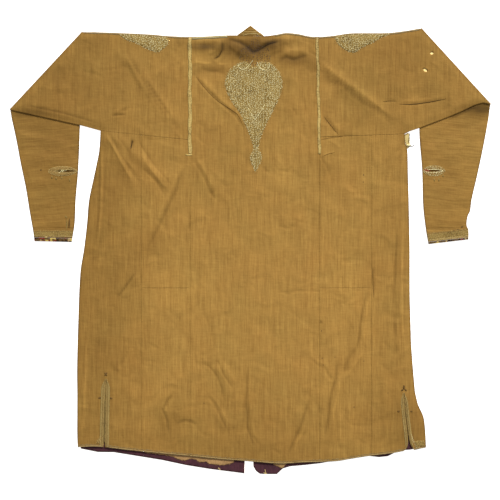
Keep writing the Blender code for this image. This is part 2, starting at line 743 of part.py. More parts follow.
def make_tapes():
    steps = 26
    half = {"left": 5.0, "right": 3.8}
    for side, sleeve, gore in (("left", LEFT, "left"), ("right", RIGHT, "right")):
        height = top_surface(["back_centre", f"back_inner_gore_{gore}_upper", f"sleeve_{side}_inner"])
        x_top, y_top = sleeve.armhole[0], follow(SHOULDER, sleeve.armhole[0]) - 2.0
        middle = []
        for step in range(steps + 1):
            y = lerp(y_top, TAPE_END, step / steps)
            x = x_top if side == "left" else loom_right(y)
            middle.append((x, y))
        lay_strip(f"tape_{side}", middle, half[side], height, GOLD)


def make_braid():
    """The narrow braid along the back hem, from slit to slit."""
    names = ["back_centre", "back_outer_gore_left", "back_outer_gore_right"]
    names += [f"back_inner_gore_{side}_lower" for side in ("left", "right")]
    height = top_surface(names)
    steps = 48
    first, last = VENT_LEFT.foot_x + 6, VENT_RIGHT.foot_x - VENT_RIGHT.opening / 2 - 4
    middle = []
    for step in range(steps + 1):
        x = lerp(first, last, step / steps)
        middle.append((x, follow(HEM, x) + BRAID_WIDTH / 2 + 0.5))
    lay_strip("hem_braid", middle, BRAID_WIDTH / 2, height, GOLD)


def cut_hole(hole, node, depth_from, depth_to):
    """Cuts a pointed oval through one wall of a piece."""
    bm = bmesh.new()
    sides = 10
    points = []
    for step in range(sides):
        angle = 2 * math.pi * step / sides
        across = math.copysign(abs(math.sin(angle)) ** 1.2, math.sin(angle))
        flat = Vector((hole.length / 2 * math.cos(angle), hole.width / 2 * across, 0))
        flat.rotate(Matrix.Rotation(hole.turn, 3, "Z"))
        points.append(Vector((hole.x, hole.y, depth_from)) + flat)
    face = bm.faces.new([bm.verts.new(point * MM) for point in points])
    raised = bmesh.ops.extrude_face_region(bm, geom=[face])
    for item in raised["geom"]:
        if isinstance(item, bmesh.types.BMVert):
            item.co.z += (depth_to - depth_from) * MM
    cutter = finish(f"cutter_{hole.name}", bm, CLOTH)
    cutter.hide_render = True
    cutter.display_type = "WIRE"
    cut = bpy.data.objects[node].modifiers.new(hole.name, "BOOLEAN")
    cut.operation = "DIFFERENCE"
    cut.object = cutter


def main():
    clear_scene()
    make_back()
    make_outer_gores()
    make_fronts()
    make_hem_pieces()
    make_neck_point()
    make_sleeve("left", LEFT, SLEEVE_SEAM_LEFT)
    make_sleeve("right", RIGHT, SLEEVE_SEAM_RIGHT)
    make_tapes()
    make_braid()
    for side, hole in SLEEVE_SLITS.items():
        cut_hole(hole, f"sleeve_{side}_outer", TUBE / 2, 4 * TUBE)
    for hole in MOTH_HOLES:
        cut_hole(hole, "sleeve_right_inner", TUBE + SEAM + TUBE / 2, 6 * TUBE)


main()
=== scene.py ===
# %% [markdown]
# # A long robe of slubbed cloth, laid face down
# The real object is a lined robe with a gold-embroidered back. It lies flat, seen from the back, with
# both sleeves folded under at the elbow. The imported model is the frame: it fixes where each sewn piece
# lies. This script gives each piece its cloth, creases, seams, embroidery and wear.

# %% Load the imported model
import math
from collections import namedtuple

import bmesh
import bpy
import numpy as np
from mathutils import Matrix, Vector
from mathutils.bvhtree import BVHTree
from mathutils.geometry import delaunay_2d_cdt


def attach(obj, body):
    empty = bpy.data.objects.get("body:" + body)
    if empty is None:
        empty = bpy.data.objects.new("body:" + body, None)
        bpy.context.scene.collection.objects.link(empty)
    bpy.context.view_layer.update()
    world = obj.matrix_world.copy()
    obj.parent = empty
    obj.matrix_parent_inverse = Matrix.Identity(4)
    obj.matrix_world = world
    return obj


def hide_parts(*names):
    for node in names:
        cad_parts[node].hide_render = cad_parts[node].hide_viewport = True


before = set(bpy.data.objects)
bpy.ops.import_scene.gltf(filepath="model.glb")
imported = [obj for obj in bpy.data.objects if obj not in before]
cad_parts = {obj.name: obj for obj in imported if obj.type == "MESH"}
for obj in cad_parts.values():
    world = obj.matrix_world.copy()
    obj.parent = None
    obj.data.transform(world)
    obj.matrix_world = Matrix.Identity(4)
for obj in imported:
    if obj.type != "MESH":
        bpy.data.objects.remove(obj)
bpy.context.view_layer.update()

# %% [markdown]
# ## Sizes
# Every size is in millimetres, and only the mesh builders turn them into metres. The outline tables are
# the same as in the part's own source, so that each cloth lies where its solid does.

# %% Cloth thicknesses and main lines
MM = 0.001
WALL, SEAM, SLACK = 1.2, 0.3, 0.4
TUBE = 2 * WALL + SLACK
FACING_WALL, SCRAP_WALL = 1.0, 0.6
BROAD_RISE, LEAST_RISE = 1.9, 0.1
HEM_RISE, HEM_RISE_START, HEM_RISE_RUN = 2.1, 95.0, 40.0
EDGE_FADE = 20.0
LOOM_LEFT, LOOM_RIGHT = -169.8, 196.0
GORE_LEFT, GORE_RIGHT, GORE_PIECING = -307.0, 343.0, -108.0
SLEEVE_SEAM = {"left": -542.0, "right": 562.0}
FRONT_CENTRE, FRONT_GAP_AT_HEM, FRONT_GAP_AT_NECK = -3.0, 25.0, 0.8
FRONT_NECK_HALF_WIDTH, FRONT_NECK_DROP = 88.0, 250.0
FACING_DEPTH = 45.0
CUFF_TOP = 60.0
TAPE_END = 272.0
RAMP, RAMP_MARGIN, UNDER_EDGE_MARGIN = 55.0, 40.0, 45.0

# %% Outlines of the robe as it lies
SHOULDER = [
    (-473, 617), (-368, 614), (-283, 610), (-232, 605.6), (-158, 603), (-68, 607), (-28, 607),
    (40, 605), (71, 608.5), (102, 614), (136, 611), (164, 605), (192, 603), (238, 606.5),
    (283, 613), (385, 614), (430, 618), (484, 627),
]
SIDE_LEFT = [
    (-560, -486.5), (-530, -488), (-470, -488.5), (-400, -488.5), (-334, -489), (-198, -485.5),
    (-62, -479.5), (6, -469), (74, -461), (142, -455), (209, -441), (277, -427), (337, -422),
]
SIDE_RIGHT = [
    (-560, 498), (-504, 495), (-470, 490), (-436, 475), (-402, 467), (-334, 461), (-266, 456),
    (-130, 452), (6, 451.5), (142, 449), (209, 447), (277, 445.5), (291, 443), (302, 438.5), (329, 437),
]
HEM = [
    (-490, -557.5), (-430, -556), (-345, -565.5), (-255, -574.5), (-164, -583), (-73, -592), (-5, -597),
    (40, -601), (85, -604), (153, -600.5), (243, -597), (289, -589.5), (334, -582.5), (402, -574.5),
    (447, -566), (498, -558.5),
]
FRONT_HEM_LEFT = [
    (-478, -562), (-430, -571.5), (-385, -572), (-317, -583), (-249, -594), (-181, -608.5),
    (-113, -619.5), (-16, -632),
]
FRONT_HEM_RIGHT = [
    (10, -612), (17, -625), (28, -633), (45, -634), (76, -634), (93, -618), (113, -612),
    (153, -608.5), (198, -603.5), (243, -595), (289, -586), (318, -580), (338, -583), (365, -586),
    (390, -583.5), (410, -573), (430, -566), (453, -565), (488, -557),
]
SCRAP_EDGE = [
    (-296, -573), (-273, -575.5), (-247, -578.5), (-221, -584), (-200, -593), (-185, -595.5),
    (-160, -591), (-141, -600.5), (-124, -599), (-116, -605), (-98, -607), (-74, -608), (-58, -605),
    (-45, -599.5),
]
TONGUE_EDGE = [(66, -607), (80, -613), (90, -617), (102, -607)]
LINING_EDGE = [(287, 447), (294, 451), (305, 452), (318, 451.5), (326.5, 450)]
LINING_TOP = [(448, 332), (440.5, 328.3)]

Sleeve = namedtuple(
    "Sleeve", "side armhole corner underarm tip elbow forearm_inner forearm_outer cuff_foot edging_foot"
)
LEFT = Sleeve(
    side=-1,
    armhole=(LOOM_LEFT, 603.0),
    corner=(LOOM_LEFT, 311.0),
    underarm=[(-422, 337), (-481, 353), (-680, 398)],
    tip=(-680, 398),
    elbow=(-475, 618),
    forearm_inner=[(24, -504), (74, -496), (142, -493), (224, -486), (354, -481), (618, -475)],
    forearm_outer=[(27, -610), (51, -613), (108, -623), (176, -634), (243, -648), (317, -662), (398, -680)],
    cuff_foot=(33.5, 35.5),
    edging_foot=(22.5, 25),
)
RIGHT = Sleeve(
    side=1,
    armhole=(190.0, 603.0),
    corner=(LOOM_RIGHT, 319.0),
    underarm=[(437, 328), (451, 335.5), (481, 345.5), (566, 378), (600, 392.5), (636, 410), (660, 416.5), (682, 413)],
    tip=(682, 413),
    elbow=(485, 628),
    forearm_inner=[(15, 505), (62, 497), (125, 490), (226, 487), (340, 479), (628, 485)],
    forearm_outer=[
        (34, 618.5), (57, 618), (71, 613), (98, 616.5), (109, 622.5), (142, 627), (209, 642.5), (277, 657),
        (334, 668), (413, 682),
    ],
    cuff_foot=(22.5, 35),
    edging_foot=(16.5, 30),
)
SLEEVES = {"left": LEFT, "right": RIGHT}
ForearmRow = namedtuple("ForearmRow", "inner outer")
FOREARM_ROWS = [
    ForearmRow(555, 372), ForearmRow(470, 345), ForearmRow(385, 312), ForearmRow(310, 272),
    ForearmRow(236, 232), ForearmRow(190, 190), ForearmRow(130, 130), ForearmRow(CUFF_TOP, CUFF_TOP),
]
Vent = namedtuple("Vent", "crown_x top_x top_y foot_x opening")
VENT_LEFT = Vent(crown_x=-375, top_x=-407.5, top_y=-371, foot_x=-412, opening=2.0)
VENT_RIGHT = Vent(crown_x=395, top_x=434.5, top_y=-405, foot_x=451.5, opening=24.0)
LIP_GAP, FOOT_FLARE = 2.0, 14

# %% [markdown]
# ## Curves through tables
# The helpers below work on whole arrays of points at once, because a panel of cloth has tens of
# thousands of them and a Python loop over each would be slow.

# %% Curve helpers
def lerp(a, b, share):
    return a + (b - a) * share


def smooth(value):
    value = np.clip(value, 0.0, 1.0)
    return value * value * (3 - 2 * value)


def follow(rows, at):
    """Values on a smooth curve through a table's rows."""
    x, y = np.array(rows, float).T
    slope = np.diff(y) / np.diff(x)
    middle = (y[2:] - y[:-2]) / (x[2:] - x[:-2])
    slopes = np.concatenate([slope[:1], middle, slope[-1:]])
    at = np.clip(at, x[0], x[-1])
    i = np.clip(np.searchsorted(x, at, side="right") - 1, 0, len(x) - 2)
    run = x[i + 1] - x[i]
    t = (at - x[i]) / run
    bend = slopes[i] * t * (1 - t) ** 2 + slopes[i + 1] * t * t * (t - 1)
    return lerp(y[i], y[i + 1], smooth(t)) + run * bend


def near_line(x, y, points):
    """How far each point is from a bent line, and the share of the line that it lies beside."""
    count = len(points) - 1
    best = np.full(np.shape(x), np.inf)
    share = np.zeros(np.shape(x))
    for k in range(count):
        (x0, y0), (x1, y1) = points[k], points[k + 1]
        dx, dy = x1 - x0, y1 - y0
        t = np.clip(((x - x0) * dx + (y - y0) * dy) / (dx * dx + dy * dy), 0, 1)
        distance = np.hypot(x - x0 - t * dx, y - y0 - t * dy)
        nearer = distance < best
        best = np.where(nearer, distance, best)
        share = np.where(nearer, (k + t) / count, share)
    return best, share


def even_points(points, step, closed=False):
    """A smooth line through given points, with points about a step apart."""
    knots = np.array(points, float)
    if closed:
        knots = np.vstack([knots[-2:], knots, knots[:3]])
    else:
        knots = np.vstack([2 * knots[0] - knots[1], knots, 2 * knots[-1] - knots[-2]])
    made = []
    for a, b, c, d in zip(knots, knots[1:], knots[2:], knots[3:]):
        t = np.linspace(0, 1, 9)[:-1, None]
        made.append(0.5 * (2 * b + (c - a) * t + (2 * a - 5 * b + 4 * c - d) * t**2
                           + (3 * b - a - 3 * c + d) * t**3))
    if closed:
        line = np.vstack(made[1:-1] + [made[1][:1]])
    else:
        line = np.vstack(made + [knots[-2:-1]])
    length = np.concatenate([[0], np.cumsum(np.linalg.norm(np.diff(line, axis=0), axis=1))])
    at = np.linspace(0, length[-1], max(3, round(length[-1] / step) + 1))
    return np.column_stack([np.interp(at, length, line[:, k]) for k in (0, 1)])


# %% [markdown]
# ## Folds and creases
# A robe that has been folded and worn keeps soft ridges, sharper creases and hollows. Each is a bent
# line with a half width and a height. The broad folds are in the solids too. The sharper
# creases are only here. A row of a table gives the half width and the height, below nothing for a
# hollow, and then x and y of each point of the line.

# %% Broad folds
Line = namedtuple("Line", "half_width change points")


def bent_lines(rows):
    return [Line(*row[:2], list(zip(row[2::2], row[3::2]))) for row in rows]


FOLDS = bent_lines([
    (20, 3.2, -348, 560, -311, 500, -232, 374),  # left shoulder
    (16, -1.2, -320, 560, -285, 490, -215, 400),  # left shoulder hollow
    (17, 2.4, -156, 490, -79, 410, -48, 388),  # beside left tape
    (15, 3.2, -395, 335, -320, 265, -215, 175),  # left underarm upper
    (15, 2.6, -412, 330, -365, 250, -320, 160),  # left underarm lower
    (18, 2.2, -180, 255, -225, 150, -275, 30),  # left waist
    (16, 1.8, -155, 250, -122, 204, -95, 150),  # below left tape
    (20, 3.6, 204, 532, 269, 467, 400, 371),  # right shoulder
    (18, -1.2, 190, 500, 260, 430, 330, 380),  # right shoulder hollow
    (18, 2.2, 425, 320, 380, 250, 350, 170),  # right underarm
    (15, 3.0, -165, 572, -110, 562, -70, 585),  # neck left
    (14, 3.2, -50, 590, -20, 560, 28, 540),  # neck middle
    (14, 3.4, 30, 590, 75, 580, 120, 605),  # neck right
    (15, 1.8, 90, 560, 130, 548, 170, 560),  # neck right lower
    (16, 2.0, -320, -62, -345, -95, -372, -132),  # left hip
    (14, 2.4, -245, -390, -252, -440, -235, -510),  # left hem inner
    (15, 1.8, -395, -330, -365, -290, -345, -250),  # left hem outer
    (15, 2.4, -92, -318, -70, -360, -55, -420),  # centre hem left
    (14, 1.8, -92, -455, -75, -490, -60, -515),  # centre hem low
    (15, 2.0, 128, -448, 142, -480, 153, -520),  # centre hem right
    (20, 3.4, 317, -136, 300, -260, 272, -342),  # right skirt upper
    (20, 3.2, 272, -342, 232, -410, 228, -540),  # right skirt lower
    (16, 1.8, 412, -190, 412, -235, 405, -285),  # right gore
    (15, 2.2, 368, -380, 385, -430, 398, -475),  # right hem
    (18, 1.2, -640, 270, -585, 255, -530, 262),  # left forearm
    (18, 1.2, 500, 290, 560, 275, 620, 290),  # right forearm
])
print(len(FOLDS), "broad folds")

# %% Creases: left chest, underarm and waist
CREASES = bent_lines([
    # left chest
    (4.5, -1.8, -348, 560, -328, 524, -308, 490, -283, 447, -255, 402, -232, 365),
    (4, -1.7, -297, 487, -266, 439, -221, 374),
    (5.5, 1.3, -357, 560, -337, 524, -317, 487, -291, 441),
    (4.5, 1.2, -289, 487, -258, 439, -213, 374),
    (5, -0.8, -300, 441, -289, 430, -279, 413),
    (4.5, 1.2, -231, 532, -212, 530, -195, 520, -182, 507),
    (4.5, -1.6, -206, 598, -204, 584, -196, 572),
    (4, -1.4, -188, 600, -186, 586, -178, 577),
    (6, -1, -255, 376, -243, 362, -235, 351),
    (5, -1.2, -224, 368, -207, 345, -187, 323),
    (5, 1.3, -232, 566, -209, 543, -195, 532, -178, 512),
    (5, -0.9, -218, 541, -207, 532, -195, 521),
    (5, -0.6, -272, 555, -258, 538, -241, 521),
    (3.6, -2, -158, 495, -130, 461, -91, 422, -40, 379, -17, 342),
    (4.5, 1.1, -150, 501, -116, 464, -76, 422, -34, 388, -8, 351),
    (9, -1.7, -139, 514, -113, 507, -93, 505, -71, 501),
    (4, 0.9, -164, 535, -133, 529, -102, 529),
    (6, -1, -161, 351, -146, 359, -122, 348),
    (5, -0.9, -150, 328, -142, 314, -130, 300),
    # left underarm and waist
    (4.5, -1.5, -167, 266, -133, 212, -113, 167, -93, 136),
    (5, 0.8, -153, 266, -122, 215, -102, 175),
    (5, -1.5, -187, 235, -209, 173, -231, 125, -263, 57, -291, 0),
    (4.5, -0.9, -192, 195, -218, 144, -241, 96, -263, 45),
    (5, 0.9, -198, 238, -221, 175, -246, 125, -272, 68),
    (3.8, -1.1, -314, 337, -311, 300, -272, 243, -212, 174),
    (6, 1.5, -308, 277, -289, 243, -255, 198, -226, 167),
    (4.5, -1.1, -306, 235, -279, 209, -259, 187, -238, 150),
    (4.5, 1.8, -408, 328, -385, 289, -357, 238, -328, 187),
    (4.5, -1.5, -402, 334, -376, 289, -345, 238, -320, 198),
    (4, 0.9, -376, 291, -351, 255, -317, 218),
    (6, -1.4, -379, 325, -362, 306, -348, 287, -342, 272),
    (3.6, -2.4, -333, 311, -334, 300, -337, 286),
    (3.6, -1.5, -391, 379, -374, 382, -355, 383),
    (3.6, -1.2, -362, 391, -351, 399, -340, 406),
    (4, 0.8, -388, 385, -368, 399, -348, 409),
    (3.6, -0.8, -311, 313, -269, 313, -229, 311),
    (5, -0.7, -232, 255, -218, 255, -201, 255),
    (4, -0.9, -170, 108, -170, 76, -170, 48),
    (5, -0.9, -181, 34, -178, 20, -175, 6),
    (7, -1.2, -127, 108, -130, 74, -133, 37),
    (5, -0.6, -65, 119, -62, 85, -59, 51),
    (6, -0.8, -119, 170, -110, 158, -96, 170),
    (5, -0.7, -88, 198, -68, 181, -40, 187),
    (4, -1.6, -323, -62, -337, -85, -351, -102, -374, -133),
    (4.5, 1.8, -419, 300, -419, 200, -421, 116, -427, 50, -442, -30),
    (4.5, -1.1, -409, 290, -410, 200, -412, 116, -419, 40, -434, -40),
    (5, 0.7, -399, 40, -416, -11, -430, -62),
])

# %% Creases: neck, right shoulder and middle
CREASES += bent_lines([
    # neck
    (8, -2.4, -164, 583, -142, 582, -113, 580, -88, 589),
    (5, -2.6, -105, 538, -88, 549, -78, 566, -78, 589),
    (6, 1.8, -119, 555, -99, 563, -91, 577),
    (5, 0.9, -110, 546, -93, 529, -74, 521),
    (6.5, -2.6, -74, 603, -48, 594, -28, 587, -8, 576, 10, 560, 28, 569, 51, 583, 76, 589, 102, 596),
    (7, 1.6, -62, 583, -40, 566, -11, 546),
    (7, 1.5, 34, 546, 62, 560, 96, 572),
    (6.5, -2.3, 82, 535, 102, 546, 122, 539, 142, 545, 167, 552),
    (8, 1.8, 96, 560, 125, 566, 156, 563),
    (8, -1.3, 156, 518, 175, 504, 190, 507),
    (4, -0.9, 142, 596, 164, 589, 187, 582),
    (4, -0.8, 106, 603, 106, 577, 108, 552),
    # right shoulder
    (4, -1.2, 158, 566, 190, 549, 222, 526, 243, 505),
    (4.5, 2, 192, 541, 221, 515, 250, 492, 307, 453, 357, 412, 402, 375),
    (10, -1.8, 209, 484, 258, 470, 291, 441, 323, 416, 391, 379),
    (3.6, -0.8, 424, 412, 467, 412, 509, 417, 560, 426),
    (4.5, 0.8, 419, 420, 467, 421, 512, 427, 558, 436),
    (4, -1, 374, 420, 396, 421, 416, 422),
    (3.8, -2, 208, 379, 229, 352, 252, 325),
    (4.5, 1.2, 218, 382, 241, 355, 260, 331),
    (3.6, -0.5, 198, 311, 243, 320, 311, 325),
    (3.6, 0.9, 215, 317, 238, 303, 260, 286),
    (3.6, 0.9, 204, 266, 224, 273, 243, 277),
    (4, -1.5, 197, 269, 209, 249, 221, 229, 225, 209),
    (5, -0.7, 255, 374, 272, 362, 283, 365),
    # right of the medallion
    (3.6, -1.3, 119, 398, 129, 391, 134, 374),
    (4.5, -0.8, 110, 382, 96, 357, 85, 334),
    (5, -0.8, 147, 436, 164, 382, 178, 314),
    (5, -0.9, 143, 385, 161, 300, 171, 215),
    (4.5, -0.9, 149, 201, 151, 158, 158, 130),
    (4, -1.1, 82, 225, 105, 222, 122, 239),
    (4, -0.9, 35, 238, 45, 224, 59, 215),
    (5, -1.1, 76, 71, 105, 61, 136, 69),
    (5, -0.6, 133, 76, 156, 88, 175, 99),
    (5, -0.9, 272, 62, 246, 28, 232, -23),
    (7, -0.9, 308, -6, 304, -20, 303, -37),
    (5, -0.7, 398, 238, 393, 215, 375, 184),
    (4, -0.5, 188, 142, 190, 96, 190, 51),
    (6, 0.7, 57, 311, 74, 260, 96, 238),
])

# %% Creases: skirt
CREASES += bent_lines([
    # lower left
    (4, -1, -342, -282, -357, -311, -376, -334),
    (4, -0.6, -342, -249, -354, -260, -368, -275),
    (4, -0.7, -313, -280, -304, -325, -303, -368),
    (4, -0.7, -342, -383, -365, -408, -383, -440),
    (4, -0.7, -283, -265, -273, -273, -258, -275),
    (4, -0.7, -314, -419, -317, -456),
    (4, -0.7, -248, -391, -246, -422, -253, -439),
    (4, -1.8, -218, -406, -235, -427, -246, -451, -233, -484, -228, -526),
    (5, 0.9, -209, -413, -226, -436, -235, -453, -224, -481),
    (4, -0.6, -195, -289, -190, -334, -181, -379),
    (4, -0.6, -156, -289, -149, -340, -139, -393),
    (4.5, -0.8, -132, -175, -113, -215, -100, -275),
    (4, -1.2, -143, -317, -116, -328, -92, -357, -78, -396, -68, -444),
    (4, -1.4, -92, -308, -74, -351, -48, -391),
    (5, 0.7, -82, -306, -62, -342, -37, -379),
    (4, -1.2, -122, -402, -88, -460, -62, -512),
    (5, 0.8, -105, -413, -79, -453, -54, -501),
    (4, -1.5, -8, -328, -11, -422, -6, -504, 13, -558),
    (4.5, 0.9, 0, -328, -1, -422, 6, -498, 25, -546),
    (5, -1.2, -209, -490, -184, -481, -170, -484, -150, -492),
    (5, -0.9, -136, -519, -125, -524, -110, -524),
    (4, -0.9, -88, -492, -88, -526, -88, -560),
    (4, -0.7, -47, -495, -40, -543),
    (3.6, -0.8, -286, -529, -286, -563),
    (3.6, -0.8, -224, -538, -224, -572),
    (3.6, -0.7, -201, -538, -201, -572),
    (3.6, -0.7, -187, -541, -187, -574),
    (4, -0.7, -306, -501, -296, -538),
    (5, -0.7, -231, -258, -215, -218),
    (3.8, 1, -459, -289, -463, -345, -467, -410, -470, -467),
    # lower right
    (3.8, -1, 71, -115, 110, -123, 127, -115, 184, -116, 207, -119),
    (4, -2.2, 330, -116, 318, -173, 311, -215, 308, -252, 300, -286),
    (5, 1.2, 340, -122, 331, -173, 324, -226, 320, -269),
    (8, -1.6, 300, -277, 276, -311, 265, -351),
    (5, 1.3, 323, -286, 294, -325, 269, -362),
    (4, -1.2, 208, -320, 219, -351, 235, -371),
    (4.5, -2, 246, -308, 243, -362, 229, -405, 221, -475, 211, -532),
    (4, 1.6, 252, -362, 249, -405, 236, -456, 233, -515),
    (3.8, -1.4, 245, -453, 246, -509, 249, -563),
    (3.8, 1.3, 255, -453, 256, -509, 259, -563),
    (6, -1.8, 167, -422, 156, -460, 142, -502, 120, -546, 109, -580),
    (4, 1.4, 156, -504, 130, -545, 122, -580),
    (5, -1.2, 366, -357, 368, -422, 379, -447, 393, -481),
    (4, -1.5, 371, -470, 375, -507, 379, -543),
    (5, -1, 359, -313, 393, -340, 419, -376),
    (5, -0.8, 369, -256, 393, -272, 412, -306),
    (4, -1.5, 415, 96, 413, 0, 409, -113, 413, -184, 410, -260, 422, -314),
    (4.5, 0.9, 428, 57, 428, -57, 427, -170, 430, -255),
    (4, -0.7, 438, 79, 438, -57, 436, -170, 441, -269),
    (4, -0.6, 260, -470, 290, -495, 340, -499),
    (4, -0.9, 310, -536, 317, -543, 324, -549),
    (4, -0.9, 194, -494, 207, -504),
    (4.5, -0.6, 44, -185, 62, -221),
    (5, -0.5, 130, -184, 150, -201, 170, -214),
    (4, -0.6, 116, -153, 115, -181),
    (4, -0.9, 7, -524, 17, -538, 28, -552),
    (4, -0.8, 62, -562, 76, -569, 91, -580),
    (3.8, 0.8, 347, -175, 348, -226, 348, -269),
    (4, 0.7, 340, -300, 342, -357),
    (3.6, -1.6, 347, -48, 348, -91, 350, -136),
    (4, -0.8, 364, -42, 359, -82),
])

# %% Creases: sleeves and broad drifts
CREASES += bent_lines([
    # broad drifts
    (30.0353, 0.7, -120, 40, -130, -91, -113, -229),
    (33.5689, 0.8, 59, 120, 74, -59, 51, -241),
    # sleeves
    (4, -1, -640, 410, -532, 388, -422, 357),
    (14, 0.9, -600, 470, -560, 456, -505, 461),
    (14, 0.8, -470, 560, -440, 521, -424, 470),
    (14, 0.8, 470, 560, 501, 529, 560, 521),
    (9, 0.5, -645, 201, -590, 187, -521, 195),
    (9, 0.5, -628, 120, -570, 127, -509, 119),
    (10, 0.6, -655, 331, -600, 317, -501, 325),
    (9, 0.5, 501, 170, 560, 181, 617, 173),
    (9, 0.5, 501, 108, 549, 100, 604, 110),
    (10, 0.5, 492, 238, 560, 226, 640, 241),
    (5, -0.9, -521, 91, -518, 74, -516, 54),
])

# %% Height of the creased cloth
def along_lines(x, y, lines, steepness, start, half_width=None):
    """The lines' changes at each point: full on a line, fading to its sides and its ends."""
    total = np.zeros(np.shape(x))
    for line in lines:
        distance, share = near_line(x, y, line.points)
        taper = smooth(steepness * np.minimum(share, 1 - share) + start)
        total += line.change * taper * np.exp(-((distance / (half_width or line.half_width)) ** 2))
    return total


def creased(x, y, lines):
    return along_lines(x, y, lines, 4, 0.15)


def relief(x, y):
    """Height of the cloth above a sheet laid dead flat."""
    ripple = 0.16 * np.sin(x / 23 + 1.3 * np.sin(y / 61)) + 0.12 * np.sin(y / 31 + 1.1 * np.sin(x / 47))
    return np.maximum(BROAD_RISE + creased(x, y, FOLDS) + creased(x, y, CREASES) + ripple, LEAST_RISE)


print(len(CREASES), "sharper creases")

# %% [markdown]
# ## Objects, nodes and colours
# Every node of every material and tree is added by one small function, which takes the node's settings
# and what feeds it. Colours are written as sRGB codes, as a colour picker shows them, and made linear here.

# %% Shared helpers
def link(name, data, look=None):
    """Puts new data into the scene as an object at the origin."""
    made = bpy.data.objects.new(name, data)
    bpy.context.scene.collection.objects.link(made)
    if look:
        data.materials.append(look)
    return made


def colour(code):
    """An sRGB hex code as linear red, green and blue, with full alpha."""
    parts = [int(code[k : k + 2], 16) / 255 for k in (1, 3, 5)]
    linear = [c / 12.92 if c <= 0.04045 else ((c + 0.055) / 1.055) ** 2.4 for c in parts]
    return (*linear, 1.0)


def feed(tree, node, inputs):
    """Sets a node's inputs. Each is a value, a socket, or a node that stands for its first output."""
    for key, value in inputs.items():
        if isinstance(value, bpy.types.Node):
            value = value.outputs[0]
        if isinstance(value, bpy.types.NodeSocket):
            tree.links.new(value, node.inputs[key])
        else:
            node.inputs[key].default_value = value


def add(tree, kind, inputs=None, **settings):
    """Adds a node with its settings and its inputs."""
    node = tree.nodes.new(kind)
    for key, value in settings.items():
        setattr(node, key, value)
    feed(tree, node, inputs or {})
    return node


def new_material(name):
    """A new material, with its node tree and its shader."""
    made = bpy.data.materials.new(name)
    made.use_nodes = True
    return made, made.node_tree, made.node_tree.nodes["Principled BSDF"]


# %% [markdown]
# ## Camera, floor and light
# The photo was taken from straight above, so the camera looks straight down. The frame is 500 pixels of
# 2.83 mm. A wide sun lamp from beyond the neck stands for a large softbox far away: it lights the cloth
# evenly and low, so creases show. The world fills the shadows.

# %% Camera, floor and lamps
PIXEL, PHOTO_WIDTH = 2.83, 500
CAMERA_HEIGHT = 4.0
SENSOR = 36.0
FLOOR_REACH, FLOOR_DROP = 6.0, 0.4


def lamp(name, kind, energy, place, **settings):
    """A lamp that points at the middle of the robe."""
    data = bpy.data.lights.new(name, kind)
    data.energy = energy
    for key, value in settings.items():
        setattr(data, key, value)
    made = link(name, data)
    made.location = place
    made.rotation_euler = (-Vector(place)).to_track_quat("-Z", "Y").to_euler()


camera = link("camera", bpy.data.cameras.new("camera"))
camera.location = (0, 0, CAMERA_HEIGHT)
camera.data.sensor_width = SENSOR
camera.data.lens = SENSOR * CAMERA_HEIGHT / (PHOTO_WIDTH * PIXEL * MM)
bpy.context.scene.camera = camera
bpy.context.scene.view_settings.view_transform = "Standard"
bpy.context.scene.view_settings.look = "None"

lamp("softbox beyond the neck", "SUN", 4.4, (0.7, 2.6, 1.75), angle=0.22)
lamp("overhead panel", "AREA", 10, (0.1, -0.3, 2.6), shape="RECTANGLE", size=2.4, size_y=2.0)
world = bpy.data.worlds.new("studio")
world.use_nodes = True
feed(world.node_tree, world.node_tree.nodes["Background"], {"Color": (1.0, 0.985, 0.96, 1), "Strength": 0.3})
bpy.context.scene.world = world

paper, tree, shader = new_material("white light table")
feed(tree, shader, {
    "Base Color": colour("#F7F7F6"), "Roughness": 0.9, "Emission Color": (1, 1, 1, 1), "Emission Strength": 0.8,
})
floor_mesh = bpy.data.meshes.new("floor")
floor_corners = [(x * FLOOR_REACH, y * FLOOR_REACH, 0) for x, y in ((-1, -1), (1, -1), (1, 1), (-1, 1))]
floor_mesh.from_pydata(floor_corners, [], [(0, 1, 2, 3)])
floor = link("floor", floor_mesh, paper)
floor.location.z = -FLOOR_DROP * MM
print("lens", round(camera.data.lens, 1), "mm at", CAMERA_HEIGHT, "m")

# %% [markdown]
# ## Cloth materials
# The robe is a hand-woven cloth of wool and silk. Its yarn is uneven, so it shows thin streaks along the
# warp and fainter ones across. The pattern reads a UV map called Cut that holds the place of each point
# on the flat cloth in metres, as it lay on the loom. So the streaks run down the body and the upper
# sleeve, and turn with the forearm where the sleeve is folded under.
# Real threads are 0.4 mm apart, too fine to show here, so the streaks are drawn 2.6 mm apart.

# %% Woven cloth
CRUMPLE, YARN_HEIGHT = 4.0, 0.9
YARN_MEAN = 0.56


